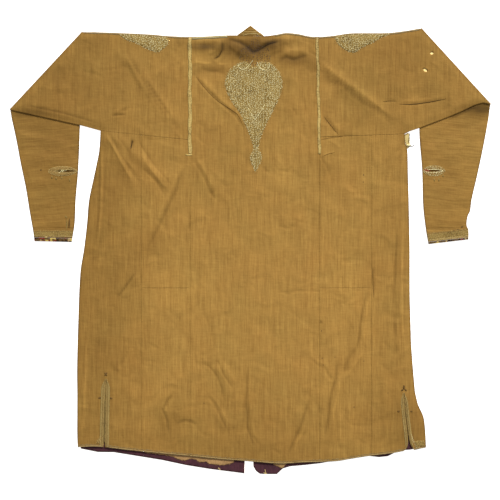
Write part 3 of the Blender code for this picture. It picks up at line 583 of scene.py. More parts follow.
def woven_cloth(name, light, dark, contrast, blotch, thread_gap=2.6, thread_length=60.0, bump=0.3):
    """A matt woven cloth: streaks of uneven yarn, blotches, and a Shade attribute for dirt, fading and painted shade.
    """
    made, tree, shader = new_material(name)
    cut = add(tree, "ShaderNodeUVMap", uv_map="Cut")

    def streaks(across, along, place=(0, 0, 0), detail=2.0, roughness=0.5):
        """Noise drawn out to streaks of yarn, with their width and length in millimetres."""
        drawn = add(tree, "ShaderNodeMapping", {
            "Vector": cut, "Scale": (1 / across / MM, 1 / along / MM, 1), "Location": place,
        })
        return add(tree, "ShaderNodeTexNoise", {
            "Vector": drawn, "Scale": 1.0, "Detail": detail, "Roughness": roughness,
        })

    warp = streaks(thread_gap, thread_length, detail=3.0, roughness=0.65)
    weft = streaks(0.6 * thread_length, 1.1 * thread_gap, (7.3, 1.9, 0))
    slubs = streaks(3.5 * thread_gap, 3 * thread_length)
    threads = add(tree, "ShaderNodeMath", {0: warp, 1: 0.62}, operation="MULTIPLY")
    threads = add(tree, "ShaderNodeMath", {0: weft, 1: 0.2, 2: threads}, operation="MULTIPLY_ADD")
    threads = add(tree, "ShaderNodeMath", {0: slubs, 1: 0.3, 2: threads}, operation="MULTIPLY_ADD")
    spread = add(tree, "ShaderNodeMapRange", {
        "Value": threads, "From Min": YARN_MEAN - 0.5 / contrast, "From Max": YARN_MEAN + 0.5 / contrast,
    })
    body = add(tree, "ShaderNodeMix", {0: spread, 6: colour(dark), 7: colour(light)}, data_type="RGBA")
    blotches = add(tree, "ShaderNodeTexNoise", {"Vector": cut, "Scale": 16.0, "Detail": 4.0, "Roughness": 0.6})
    patchy = add(tree, "ShaderNodeMapRange", {
        "Value": blotches, "From Min": 0.3, "From Max": 0.7, "To Min": 1 - blotch, "To Max": 1 + blotch,
    })
    # Shade holds dirt and fading together with painted shade and painted highlights. It is made a little steeper, so
    # that painted shade stays dark under the sheen, and the tint turns warmer as it darkens.
    dirt_and_shade_level = add(tree, "ShaderNodeAttribute", attribute_name="Shade", attribute_type="GEOMETRY").outputs["Fac"]
    steep = add(tree, "ShaderNodeMath", {0: dirt_and_shade_level, 1: 1.07, 2: -0.07}, operation="MULTIPLY_ADD")
    level = add(tree, "ShaderNodeMath", {0: patchy, 1: steep}, operation="MULTIPLY")
    shaded = add(tree, "ShaderNodeVectorMath", {0: body.outputs[2], 3: level}, operation="SCALE")
    warm = add(tree, "ShaderNodeMix", {0: dirt_and_shade_level, 6: (1.0, 0.9, 0.55, 1), 7: (1, 1, 1, 1)}, data_type="RGBA")
    tinted = add(tree, "ShaderNodeVectorMath", {0: shaded, 1: warm.outputs[2]}, operation="MULTIPLY")
    ageing = add(tree, "ShaderNodeTexNoise", {"Vector": cut, "Scale": 8.0, "Detail": 3.0})
    hue = add(tree, "ShaderNodeMix", {
        0: ageing, 6: (0.95, 1.02, 1.0, 1), 7: (1.05, 0.98, 0.94, 1),
    }, data_type="RGBA")
    final = add(tree, "ShaderNodeVectorMath", {0: tinted, 1: hue.outputs[2]}, operation="MULTIPLY")
    wide = add(tree, "ShaderNodeTexNoise", {"Vector": cut, "Scale": 17.0, "Detail": 1.0, "Distortion": 0.7})
    small = add(tree, "ShaderNodeTexNoise", {"Vector": cut, "Scale": 120.0, "Detail": 1.0, "Distortion": 0.4})
    handled = add(tree, "ShaderNodeMath", {0: small, 1: 0.12, 2: wide}, operation="MULTIPLY_ADD")
    crumpled = add(tree, "ShaderNodeBump", {"Height": handled, "Strength": 1.0, "Distance": CRUMPLE * MM})
    raised = add(tree, "ShaderNodeBump", {
        "Height": threads, "Strength": bump, "Distance": YARN_HEIGHT * MM, "Normal": crumpled,
    })
    feed(tree, shader, {
        "Base Color": final, "Normal": raised, "Roughness": 0.8, "Sheen Weight": 0.2, "Sheen Roughness": 0.5,
        "Sheen Tint": colour(light), "Specular IOR Level": 0.2,
    })
    return made


ROBE_CLOTH = woven_cloth("hand-woven wool and silk cloth, mustard", "#B08844", "#87622A", 2.3, 0.05)
MAROON_CLOTH = woven_cloth("plain cotton facing, dyed maroon", "#573039", "#2A161C", 1.6, 0.24, 2.4, 20, 0.4)
TAN_CLOTH = woven_cloth("coarse tan inner cotton, worn", "#B99363", "#7E5F38", 1.6, 0.15, 2.6, 12, 0.5)
CREAM_CLOTH = woven_cloth("cream cotton lining, torn", "#F1DB9B", "#A48644", 1.4, 0.2, 2.6, 14, 0.5)
MADDER_CLOTH = woven_cloth("cotton lining, madder red", "#A4461E", "#5A2110", 1.4, 0.2, 2.6, 14, 0.5)
print("cloths:", ROBE_CLOTH.name, "|", MAROON_CLOTH.name, "|", TAN_CLOTH.name, "|", CREAM_CLOTH.name)

# %% [markdown]
# Metal thread is a flat gilt strip wound on a silk core. New, it is bright. On this robe it is rubbed
# and tarnished, so it is mostly dull beige with some shine left.

# %% Metal thread, tape and silk
def metal_thread(name, bright, dull, grain=3.0, metallic=0.0, roughness=0.8):
    """Worn thread: bright and tarnished stretches mixed by noise with a grain in millimetres."""
    made, tree, shader = new_material(name)
    place = add(tree, "ShaderNodeTexCoord").outputs["Object"]
    wear = add(tree, "ShaderNodeTexNoise", {
        "Vector": place, "Scale": 1 / grain / MM, "Detail": 3.0, "Roughness": 0.7,
    })
    broad = add(tree, "ShaderNodeTexNoise", {"Vector": place, "Scale": 1 / (9 * grain) / MM, "Detail": 2.0})
    mixed = add(tree, "ShaderNodeMath", {0: broad, 1: 0.5, 2: wear}, operation="MULTIPLY_ADD")
    tone = add(tree, "ShaderNodeMapRange", {"Value": mixed, "From Min": 0.58, "From Max": 0.75})
    body = add(tree, "ShaderNodeMix", {0: tone, 6: colour(dull), 7: colour(bright)}, data_type="RGBA")
    # The stitches darken with the dirt and painted shade of the cloth below them.
    dirt_and_shade_level = add(tree, "ShaderNodeAttribute", attribute_name="DirtAndShade", attribute_type="GEOMETRY").outputs["Fac"]
    clean_and_lit = add(tree, "ShaderNodeMath", {0: 1.0, 1: dirt_and_shade_level}, operation="SUBTRACT")
    worn = add(tree, "ShaderNodeVectorMath", {0: body.outputs[2], 3: clean_and_lit}, operation="SCALE")
    turns = add(tree, "ShaderNodeBump", {"Height": wear, "Strength": 0.3, "Distance": 0.2 * MM})
    feed(tree, shader, {
        "Base Color": worn, "Normal": turns, "Metallic": metallic, "Roughness": roughness,
        "Specular IOR Level": 0.15 + 3 * metallic,
    })
    return made


GOLD_CURLS = metal_thread("gilt metal thread, rubbed", "#FAF0BA", "#CDB774", 3.0, 0.1, 0.5)
GOLD_CORD = metal_thread("gilt couched cord, worn", "#C3A968", "#8E7741", 4.0, 0.1, 0.5)
DULL_CURLS = metal_thread("gilt metal thread, tarnished", "#AC9054", "#846B39", 3.0, 0.05, 0.6)
GOLD_TAPE = metal_thread("gilt woven tape, rubbed", "#C8AB62", "#8A7038", 3.2, 0.1, 0.5)
GROUND = metal_thread("close couched ground, tarnished", "#907740", "#624C22", 3.4)
DULL_GROUND = metal_thread("flat silk ground, faded", "#8F723E", "#765B2F", 3.4)
SLIT_GROUND = metal_thread("flat silk ground, faded olive", "#8E7643", "#735E35", 3.4)
BROWN_SILK = metal_thread("brown silk thread, faded", "#6B4F26", "#4C3516")
STAINED_SILK = metal_thread("silk thread, stained grey", "#6A5146", "#473530", 5.0)
HEM_SILK = metal_thread("silk braid, faded olive", "#9E8759", "#7C663C")
EDGE_SILK = metal_thread("silk edging, rubbed grey", "#96825A", "#786440")
NECK_SILK = metal_thread("silk edging, pale olive", "#A3956A", "#85744A", 3.4)
DARK_THREAD = metal_thread("dark silk thread", "#463524", "#2B2016")
print("metal threads:", GOLD_CURLS.name, "|", GOLD_CORD.name, "|", GOLD_TAPE.name, "|", GROUND.name)

# %% [markdown]
# The lining that shows below the cuffs is a small printed cotton: dark red, with yellow and black spots.
# A Voronoi texture gives each small cell its own colour.

# %% Patterned lining
SPOT = 7.5
SPOT_COLOURS = (
    (0.0, "#5C4526"), (0.34, "#31200F"), (0.56, "#74321F"), (0.67, "#B79F54"), (0.8, "#3A2612"), (0.9, "#A38A5E"),
)
SPOTTED_LINING, tree, shader = new_material("printed cotton lining, dark red with small spots")
cut = add(tree, "ShaderNodeUVMap", uv_map="Cut")
spots = add(tree, "ShaderNodeTexVoronoi", {"Vector": cut, "Scale": 1 / SPOT / MM, "Randomness": 0.9})
pick = add(tree, "ShaderNodeSeparateColor", {0: spots.outputs["Color"]})
ramp = add(tree, "ShaderNodeValToRGB", {0: pick})
ramp.color_ramp.interpolation = "CONSTANT"
while len(ramp.color_ramp.elements) < len(SPOT_COLOURS):
    ramp.color_ramp.elements.new(0.5)
for element, (place, code) in zip(ramp.color_ramp.elements, SPOT_COLOURS):
    element.position = place
    element.color = colour(code)
weave = add(tree, "ShaderNodeTexNoise", {"Vector": cut, "Scale": 900.0, "Detail": 2.0})
bumps = add(tree, "ShaderNodeBump", {"Height": weave, "Strength": 0.3, "Distance": 0.3 * MM})
feed(tree, shader, {"Base Color": ramp, "Normal": bumps, "Roughness": 0.85, "Specular IOR Level": 0.1})
print("lining:", SPOTTED_LINING.name)

# %% [markdown]
# ## A closed wall of cloth
# Each piece of cloth is a thin closed wall between two matched sheets of points. The builder finds the
# open sides itself and closes them with a rim. The two faces are smooth and the rim is flat, so the edge
# of the cloth stays crisp.

# %% Wall builder
ROLL = np.array([0.9, 2.2, 4.2])


def wall(name, top, under, cells, cut, look):
    """A closed wall over cells, given as rows of point numbers. cut is each point's place on the flat cloth."""
    cells = np.asarray(cells)
    corners = cells.shape[1]
    used, cells = np.unique(cells, return_inverse=True)
    cells = cells.reshape(-1, corners)
    top, under, cut = top[used], under[used], cut[used]
    count = len(top)
    sides = np.stack([cells, np.roll(cells, -1, axis=1)], axis=2).reshape(-1, 2)
    ends = np.sort(sides, axis=1)
    _, first, times = np.unique(ends[:, 0] * count + ends[:, 1], return_index=True, return_counts=True)
    rim = sides[first[times == 1]]
    rims = np.column_stack([rim[:, 0] + count, rim[:, 1] + count, rim[:, 1], rim[:, 0]])
    faces = cells.tolist() + (cells[:, ::-1] + count).tolist() + rims.tolist()
    points = np.vstack([top, under])
    a, b, c = (points[[face[k] for face in faces]] for k in (0, 1, 2))
    size = np.einsum("ij,ij->", a - points.mean(0), np.cross(b - a, c - a))
    if size < 0:
        faces = [face[::-1] for face in faces]
    mesh = bpy.data.meshes.new(name)
    mesh.from_pydata((points * MM).tolist(), [], faces)
    mesh.polygons.foreach_set("use_smooth", [True] * (2 * len(cells)) + [False] * len(rims))
    corner = np.empty(len(mesh.loops), np.int32)
    mesh.loops.foreach_get("vertex_index", corner)
    layer = mesh.uv_layers.new(name="Cut")
    layer.data.foreach_set("uv", (cut[corner % count] * MM).ravel())
    return link(name, mesh, look)


def grid_cells(index):
    """The cells of a grid of point numbers."""
    return np.stack([index[:-1, :-1], index[1:, :-1], index[1:, 1:], index[:-1, 1:]], axis=-1).reshape(-1, 4)


def stations(length, step):
    """Shares of a length, a step apart, and closer beside both ends where the seam rolls under."""
    last = ROLL[-1]
    middle = np.linspace(last, length - last, max(2, round((length - 2 * last) / step) + 1))
    return np.concatenate([[0], ROLL[:-1], middle, length - ROLL[-2::-1], [length]]) / length


# %% [markdown]
# ## The back
# The back is one loom width with gores at both sides. A panel is a grid between four curved sides. Along
# each seam the cloth rolls down a little into the join, which is what makes a seam show.

# %% Heights of the back
SEAM_DIP, SEAM_ROUND = 0.4, 1.8
ARMPIT_FADE = 60.0
FOLD_SET_BACK = 2.2


def armhole_seam(sleeve, x):
    (x0, y0), (x1, y1) = sleeve.underarm[0], sleeve.corner
    return lerp(y0, y1, (x - x0) / (x1 - x0))


def loom_right(y):
    (low_x, low_y), (high_x, high_y) = RIGHT.corner, RIGHT.armhole
    return lerp(low_x, high_x, np.maximum(y - low_y, 0) / (high_y - low_y))


def lift_below_sleeves(x, y):
    """The folded forearm pushes each sleeve up, and the cloth below the armpit rises with it."""
    total = 0.0
    for sleeve in (LEFT, RIGHT):
        over = (x - sleeve.elbow[0]) * sleeve.side + RAMP_MARGIN + RAMP + FOLD_SET_BACK
        below = armhole_seam(sleeve, x) - y
        total = total + (TUBE + SEAM) * smooth(over / RAMP) * smooth(1 - below / ARMPIT_FADE)
    return total


def back_underside(x, y):
    inside = follow(SHOULDER, x) - y
    inside = np.minimum(inside, np.where(y < SIDE_LEFT[-1][0], x - follow(SIDE_LEFT, y), EDGE_FADE))
    inside = np.minimum(inside, np.where(y < SIDE_RIGHT[-1][0], follow(SIDE_RIGHT, y) - x, EDGE_FADE))
    over_facing = HEM_RISE * smooth((follow(HEM, x) + HEM_RISE_START - y) / HEM_RISE_RUN)
    return WALL + SLACK + relief(x, y) * smooth(inside / EDGE_FADE) + over_facing + lift_below_sleeves(x, y)


def rolled(edge):
    """How far the face of the cloth sinks beside an edge."""
    return SEAM_DIP * np.exp(-((edge / SEAM_ROUND) ** 2))


def back_wall(name, x, y, edge, cells):
    under = back_underside(x, y)
    top = under + WALL - rolled(edge)
    under = under + 0.2 * rolled(edge)
    flat = np.column_stack([x.ravel(), y.ravel()])
    return wall(
        name, np.column_stack([flat, top.ravel()]), np.column_stack([flat, under.ravel()]), cells, flat, ROBE_CLOTH
    )


# %% Centre and inner gores
# A point's x depends on its y and the other way round, so their places settle in a few rounds.
SETTLING_ROUNDS = 4


def back_panel(name, step, left, right, top, bottom):
    middle = (top(0.0) + bottom(0.0)) / 2
    width = float(right(middle) - left(middle))
    length = float(top(0.0) - bottom(0.0))
    across, down = np.meshgrid(stations(width, step), stations(length, step))
    y = lerp(top(0.0), bottom(0.0), down)
    for _ in range(SETTLING_ROUNDS):
        x = lerp(left(y), right(y), across)
        y = lerp(top(x), bottom(x), down)
    edge = np.minimum(np.minimum(across, 1 - across) * width, 3 * np.minimum(down, 1 - down) * length)
    made = back_wall(name, x, y, edge, grid_cells(np.arange(x.size).reshape(x.shape)))
    print(name, round(width), "x", round(length), "mm,", len(made.data.polygons), "faces")
    return made, (width, length)


CENTRE_CELL, CELL = 3.6, 4.0
HALF_GAP = 0.04
cloths, cuts = {}, {}
cloths["back_centre"], cuts["back_centre"] = back_panel(
    "cloth_back_centre", CENTRE_CELL, lambda y: LOOM_LEFT + HALF_GAP, lambda y: loom_right(y) - HALF_GAP,
    lambda x: follow(SHOULDER, x), lambda x: follow(HEM, x),
)
for side, sleeve, outer, inner in (
    ("left", LEFT, lambda y: GORE_LEFT, lambda y: LOOM_LEFT), ("right", RIGHT, loom_right, lambda y: GORE_RIGHT),
):
    gore_left = lambda y, edge=outer: edge(y) + HALF_GAP
    gore_right = lambda y, edge=inner: edge(y) - HALF_GAP
    node = f"back_inner_gore_{side}_upper"
    cloths[node], cuts[node] = back_panel(
        f"cloth_{node}", CELL, gore_left, gore_right,
        lambda x, which=sleeve: armhole_seam(which, x) - HALF_GAP, lambda x: GORE_PIECING + HALF_GAP,
    )
    node = f"back_inner_gore_{side}_lower"
    cloths[node], cuts[node] = back_panel(
        f"cloth_{node}", CELL, gore_left, gore_right, lambda x: GORE_PIECING - HALF_GAP, lambda x: follow(HEM, x),
    )

# %% Outer gores with their hem slits
LIP_REACH, FAR = 40.0, 99.0


def outer_gore(name, step, vent, left, right, sleeve):
    """A panel whose middle line is the slit's line: below the slit's top the two lips part."""
    top_line = lambda x: armhole_seam(sleeve, x) - HALF_GAP
    foot_y = float(follow(HEM, vent.foot_x))
    guide = [(foot_y, vent.foot_x), (vent.top_y, vent.top_x), (float(top_line(vent.crown_x)), vent.crown_x)]
    width = float(right(0.0) - left(0.0)) / 2
    above, below = float(top_line(vent.crown_x)) - vent.top_y, vent.top_y - foot_y
    across = stations(width, step)
    down = np.concatenate([stations(above, step), 1 + stations(below, step)[1:]])
    slit_row = len(stations(above, step)) - 1
    halves = []
    for side in (-1, 1):
        share, row = np.meshgrid(across, down)
        y = np.full(share.shape, vent.top_y, float)
        for _ in range(SETTLING_ROUNDS):
            middle = follow(guide, y)
            x = lerp(left(y), middle, share) if side < 0 else lerp(middle, right(y), share)
            y = np.where(
                row <= 1, lerp(top_line(x), vent.top_y, np.minimum(row, 1)),
                lerp(vent.top_y, follow(HEM, x), row - 1),
            )
        to_lip = 1 - share if side < 0 else share
        part = np.maximum(row - 1, 0)
        gape = (LIP_GAP * part + vent.opening * part**FOOT_FLARE) / 2
        x = x + side * gape * np.maximum(1 - to_lip * width / LIP_REACH, 0)
        lip_edge = np.where(row > 1, to_lip * width, FAR)
        edge = np.minimum(np.minimum((1 - to_lip) * width, lip_edge),
                          np.minimum(3 * row * above, (2 - row) * below))
        halves.append((x, y, edge))
    shape = halves[0][0].shape
    index = np.arange(2 * shape[0] * shape[1]).reshape(2, *shape)
    index[1][: slit_row + 1, 0] = index[0][: slit_row + 1, -1]
    x, y, edge = (np.concatenate([halves[0][k].ravel(), halves[1][k].ravel()]) for k in range(3))
    made = back_wall(name, x, y, edge, np.vstack([grid_cells(index[0]), grid_cells(index[1])]))
    print(name, round(2 * width), "x", round(above + below), "mm,", len(made.data.polygons), "faces")
    return made, (2 * width, above + below)


cloths["back_outer_gore_left"], cuts["back_outer_gore_left"] = outer_gore(
    "cloth_back_outer_gore_left", CELL, VENT_LEFT,
    lambda y: follow(SIDE_LEFT, y), lambda y: GORE_LEFT - HALF_GAP, LEFT,
)
cloths["back_outer_gore_right"], cuts["back_outer_gore_right"] = outer_gore(
    "cloth_back_outer_gore_right", CELL, VENT_RIGHT,
    lambda y: GORE_RIGHT + HALF_GAP, lambda y: follow(SIDE_RIGHT, y), RIGHT,
)

# %% [markdown]
# ## Sleeves folded under
# A sleeve is a flattened tube. It is built opened out flat, where the loom-width seam is a straight line
# and the weave is straight, and then folded under along the diagonal at the elbow. Each point keeps its
# flat place as its UV, which is why the streaks turn with the forearm.

# %% Plan of a sleeve
class FoldedSleeve:
    """A sleeve opened out flat, and the turn that lays its forearm underneath."""

    def __init__(self, sleeve):
        self.sleeve = sleeve
        self.turn_length = math.pi * (TUBE / 2 + SEAM / 2)
        tip, elbow = np.array(sleeve.tip, float), np.array(sleeve.elbow, float)
        direction = (tip - elbow) / np.linalg.norm(tip - elbow)
        self.outward = np.array([direction[1], -direction[0]])
        if self.outward[0] * sleeve.side < 0:
            self.outward = -self.outward
        self.start = elbow - self.outward * (TUBE + SEAM / 2)
        self.end = tip - self.outward * (TUBE + SEAM / 2)

    def beyond(self, plan):
        return (plan - self.start) @ self.outward

    def unfolded(self, plan):
        return plan + self.outward * (self.turn_length - 2 * self.beyond(plan))[..., None]

    def fan(self, share, f):
        """Points between the L-shaped armhole and the fold. f runs from the shoulder to the underarm."""
        sleeve = self.sleeve
        rim_x = lerp(sleeve.armhole[0], self.start[0], share)
        rim = np.stack([rim_x, follow(SHOULDER, rim_x)], axis=-1)
        rim = lerp(rim, self.start, smooth(share * 4 - 3)[..., None])
        line = np.array(list(sleeve.underarm[:-1]) + [tuple(self.end)], float)
        length = np.concatenate([[0], np.cumsum(np.linalg.norm(np.diff(line, axis=0), axis=1))])
        under = np.stack([np.interp(share * length[-1], length, line[:, k]) for k in (0, 1)], axis=-1)
        armhole, corner, pit = (np.array(p, float) for p in (sleeve.armhole, sleeve.corner, sleeve.underarm[0]))
        share, f = share[..., None], f[..., None]
        leg = np.where(f < 0.5, lerp(armhole, corner, 2 * f), lerp(corner, pit, 2 * f - 1))
        point = lerp(leg, lerp(self.start, self.end, f), share)
        first, last = lerp(armhole, self.start, share), lerp(pit, self.end, share)
        return point + (rim - first) * (1 - f) + (under - last) * f

    def forearm(self, inner_y, outer_y, f):
        """Points of the forearm, where it would lie opened out."""
        sleeve = self.sleeve
        inner = np.stack([follow(sleeve.forearm_inner, inner_y), inner_y], axis=-1)
        outer = np.stack([follow(sleeve.forearm_outer, outer_y), outer_y], axis=-1)
        return self.unfolded(lerp(inner, outer, f[..., None]))

    def folded(self, plan, height):
        """Takes opened-out points, with their height in the tube, to their folded place."""
        beyond = self.beyond(plan)
        over = (plan[:, 0] - self.start[0]) * self.sleeve.side + RAMP_MARGIN + RAMP
        lift = (TUBE + SEAM) * smooth(over / RAMP)
        centre, reach = TUBE + SEAM / 2, height + SEAM / 2
        angle = math.pi * np.clip(beyond / self.turn_length, 0, 1)
        shift = np.where(beyond > 0, -beyond + reach * np.sin(angle) - np.maximum(beyond - self.turn_length, 0), 0)
        shift = np.where(beyond > self.turn_length, self.turn_length - 2 * beyond, shift)
        place = plan + self.outward * shift[:, None]
        z = np.where(beyond > 0, centre + reach * np.cos(angle), lift + height)
        return np.column_stack([place, z])

    def rise(self, x, y, upper):
        """The relief of the wall that is seen from above. It fades at the edges and at the fold."""
        sleeve = self.sleeve
        underarm, _ = near_line(x, y, sleeve.underarm)
        above = np.minimum(np.minimum(-self.beyond(np.stack([x, y], axis=-1)), underarm), follow(SHOULDER, x) - y)
        edges = np.sort(np.stack([follow(sleeve.forearm_inner, y), follow(sleeve.forearm_outer, y)]), axis=0)
        below = np.minimum(underarm - UNDER_EDGE_MARGIN, y - CUFF_TOP)
        below = np.minimum(np.minimum(x - edges[0], edges[1] - x), below)
        hidden = y > follow(sorted(sleeve.underarm), x) - 1
        room = np.where(upper, above, np.where(hidden, 0, below))
        return relief(x, y) * smooth(room / EDGE_FADE)


# %% Tube of a sleeve
EDGE_OUT, RISE_OUT = (0.0, 0.45, 1.4), (0.0, 0.73 * TUBE / 2, TUBE / 2)
EDGE_IN, RISE_IN = (WALL, WALL + 0.15, WALL + 0.7), (0.0, 0.6 * SLACK / 2, SLACK / 2)


def tube_rings(sections):
    """The outer and the inner rings round each section, as plan and height together."""
    def way(a, b):
        return (b - a) / np.maximum(np.linalg.norm(b - a, axis=-1, keepdims=True), 1e-9)

    first, last = way(sections[:, 0], sections[:, 1]), way(sections[:, -1], sections[:, -2])
    rings = []
    for insets, rises, full in ((EDGE_OUT, RISE_OUT, TUBE / 2), (EDGE_IN, RISE_IN, SLACK / 2)):
        plan = [sections[:, 0] + first * inset for inset in insets]
        plan += [sections[:, k] for k in range(1, sections.shape[1] - 1)]
        plan += [sections[:, -1] + last * inset for inset in reversed(insets)]
        heights = list(rises) + [full] * (sections.shape[1] - 2) + list(reversed(rises))
        order = list(range(len(plan))) + list(range(len(plan) - 2, 0, -1))
        signs = [1] * len(plan) + [-1] * (len(plan) - 2)
        rings.append(np.stack([
            np.column_stack([plan[k], np.full(len(sections), TUBE / 2 + sign * heights[k])])
            for k, sign in zip(order, signs)
        ], axis=1))
    return rings


def tube_cells(rows, count):
    index = np.arange(rows * count).reshape(rows, count)
    return grid_cells(np.column_stack([index, index[:, 0]]))


def folded_tube(name, plan, sections, look, seam_x=None, relief_on=True):
    outer, inner = tube_rings(sections)
    walls = []
    for ring in (outer.reshape(-1, 3), inner.reshape(-1, 3)):
        upper = plan.beyond(ring[:, :2]) <= plan.turn_length / 2
        seen = np.where(upper, ring[:, 2] > TUBE / 2 + 1e-3, ring[:, 2] < TUBE / 2 - 1e-3)
        place = plan.folded(ring[:, :2], ring[:, 2])
        if relief_on:
            place[:, 2] += np.where(seen, plan.rise(place[:, 0], place[:, 1], upper), 0)
        if seam_x is not None:
            sunk = 0.7 * np.exp(-(((ring[:, 0] - seam_x) / 2.6) ** 2))
            place[:, 2] -= np.where(seen & upper, sunk, 0)
        walls.append(place)
    made = wall(name, *walls, tube_cells(*outer.shape[:2]), outer.reshape(-1, 3)[:, :2], look)
    print(name, len(made.data.polygons), "faces")
    return made


# %% Both sleeves, cuffs and cuff linings
SLEEVE_ACROSS, SLEEVE_ALONG, TURN_STEPS, BRIDGE_STEPS, FOREARM_ALONG = 66, 100, 6, 10, 118
CUFF_ACROSS, CUFF_ALONG = 40, 8
cuff_pieces = {}
for side, sleeve in SLEEVES.items():
    plan = FoldedSleeve(sleeve)
    f = np.linspace(0, 1, SLEEVE_ACROSS + 1)
    share, across = np.meshgrid(np.linspace(0, 1, SLEEVE_ALONG + 1), f, indexing="ij")
    upper_arm = plan.fan(share, across)
    upper_arm[0] += (sleeve.side * HALF_GAP, 0)
    upper_arm[0, SLEEVE_ACROSS // 2 :] += (0, HALF_GAP)
    turn = [upper_arm[-1] + plan.outward * plan.turn_length * k / TURN_STEPS for k in range(1, TURN_STEPS + 1)]
    rows = np.array(FOREARM_ROWS, float)
    steps = np.linspace(0, len(rows) - 1, FOREARM_ALONG + 1)
    inner_y = np.interp(steps, range(len(rows)), rows[:, 0])
    outer_y = np.interp(steps, range(len(rows)), rows[:, 1])
    lower_arm = plan.forearm(*np.broadcast_arrays(inner_y[:, None], outer_y[:, None], f[None, :]))
    bridge = [lerp(turn[-1], lower_arm[0], k / BRIDGE_STEPS) for k in range(1, BRIDGE_STEPS)]
    sections = np.concatenate([upper_arm, np.array(turn), np.array(bridge), lower_arm])
    cloths[f"sleeve_{side}"] = folded_tube(f"cloth_sleeve_{side}", plan, sections, ROBE_CLOTH, SLEEVE_SEAM[side])
    length = np.linalg.norm(np.diff(sections, axis=0), axis=-1).mean(1).sum()
    wide = np.linalg.norm(np.diff(sections, axis=1), axis=-1).sum(1)
    cuts[f"sleeve_{side}"] = (2 * wide.max(), length, 2 * (wide.mean() * length))
    for band, top, foot, look in (
        ("cuff", ForearmRow(CUFF_TOP, CUFF_TOP), ForearmRow(*sleeve.cuff_foot), ROBE_CLOTH),
        ("cuff_edging", ForearmRow(*sleeve.cuff_foot), ForearmRow(*sleeve.edging_foot), SPOTTED_LINING),
    ):
        share, across = np.meshgrid(
            np.linspace(0, 1, CUFF_ALONG + 1), np.linspace(0, 1, CUFF_ACROSS + 1), indexing="ij"
        )
        points = plan.forearm(
            lerp(top.inner - SEAM, foot.inner, share), lerp(top.outer - SEAM, foot.outer, share), across
        )
        piece = folded_tube(f"cloth_{band}_{side}", plan, points, look, relief_on=False)
        cuff_pieces[f"{band}_{side}"] = piece
        wide = np.linalg.norm(np.diff(points, axis=1), axis=-1).sum(1)
        tall = np.linalg.norm(np.diff(points, axis=0), axis=-1).sum(0)
        cuts[f"{band}_{side}"] = (2 * wide.mean(), tall.mean())

print("sleeve cuts, mm:", [round(v) for v in cuts["sleeve_left"][:2]], [round(v) for v in cuts["sleeve_right"][:2]])

# %% [markdown]
# ## Openings and holes
# Each forearm has a short slit with embroidery round it, and moths have eaten two holes in the right
# sleeve. They are real openings through the upper wall, cut with a Boolean whose result is kept. Small
# scraps of the lining lie inside the sleeve, where the holes show them.

# %% Cut the slits and the moth holes
Hole = namedtuple("Hole", "side x y length width turn low high")
HOLES = [
    Hole("left", -520, 223, 62, 5.0, 0.0, 1.4, 9.0),
    Hole("right", 518, 223.5, 51, 5.0, 0.0, 1.4, 9.0),
    Hole("right", 513.7, 556, 10, 8, 0.2, 4.5, 14.0),
    Hole("right", 495.3, 508, 13, 8, -0.6, 4.5, 14.0),
]


def made_plain(obj):
    """Keeps the result of an object's modifiers as its own mesh."""
    shown = obj.evaluated_get(bpy.context.evaluated_depsgraph_get())
    mesh = bpy.data.meshes.new_from_object(shown)
    obj.modifiers.clear()
    obj.data = mesh
    return obj


def pointed_oval(length, width, sides):
    angle = np.linspace(0, math.tau, sides, endpoint=False)
    across = np.sign(np.sin(angle)) * np.abs(np.sin(angle)) ** 1.2
    return np.column_stack([length / 2 * np.cos(angle), width / 2 * across])


def turned(points, turn, x, y):
    c, s = math.cos(turn), math.sin(turn)
    return points @ np.array([[c, s], [-s, c]]) + (x, y)


for hole in HOLES:
    ring = turned(pointed_oval(hole.length, hole.width, 16), hole.turn, hole.x, hole.y)
    count = len(ring)
    levels = [np.column_stack([ring, np.full(count, z)]) * MM for z in (hole.low, hole.high)]
    faces = [list(range(count))[::-1], list(range(count, 2 * count))]
    faces += [[k, (k + 1) % count, (k + 1) % count + count, k + count] for k in range(count)]
    cutter_mesh = bpy.data.meshes.new("cutter")
    cutter_mesh.from_pydata(np.vstack(levels).tolist(), [], faces)
    cutter = link("cutter", cutter_mesh)
    sleeve_cloth = cloths[f"sleeve_{hole.side}"]
    cut = sleeve_cloth.modifiers.new("hole", "BOOLEAN")
    cut.operation, cut.solver, cut.object = "DIFFERENCE", "EXACT", cutter
    made_plain(sleeve_cloth)
    bpy.data.objects.remove(cutter)
print(len(HOLES), "holes cut")

# %% [markdown]
# ## Pieces cut to an outline
# The fronts, facings and scraps aren't four-sided. Their outline is filled with evenly spaced points and
# a Delaunay triangulation, so that the cloth can still bend inside it.

# %% Fill an outline with cloth
def filled(outline, step):
    """Points and triangles that fill a closed outline."""
    ring = []
    corners = np.array(outline, float)
    for a, b in zip(corners, np.roll(corners, -1, axis=0)):
        count = max(1, math.ceil(np.linalg.norm(b - a) / step))
        ring += [lerp(a, b, k / count) for k in range(count)]
    ring = np.array(ring)
    low, high = ring.min(0), ring.max(0)
    gx, gy = np.meshgrid(np.arange(low[0] + step / 2, high[0], step), np.arange(low[1] + step / 2, high[1], step))
    grid = np.column_stack([gx.ravel(), gy.ravel()])
    inside = np.zeros(len(grid), bool)
    for (x0, y0), (x1, y1) in zip(ring, np.roll(ring, -1, axis=0)):
        if y0 != y1:
            crosses = (y0 > grid[:, 1]) != (y1 > grid[:, 1])
            inside ^= crosses & (grid[:, 0] < (x1 - x0) * (grid[:, 1] - y0) / (y1 - y0) + x0)
    grid = grid[inside]
    grid = grid[[np.hypot(*(ring - point).T).min() > 0.5 * step for point in grid]] if len(grid) else grid
    points = [Vector(point) for point in np.vstack([ring, grid])]
    made = delaunay_2d_cdt(points, [], [list(range(len(ring)))], 1, 1e-4)
    plan = np.array([tuple(point) for point in made[0]])
    edge = np.array([np.hypot(*(ring - point).T).min() for point in plan])
    return plan, made[2], edge


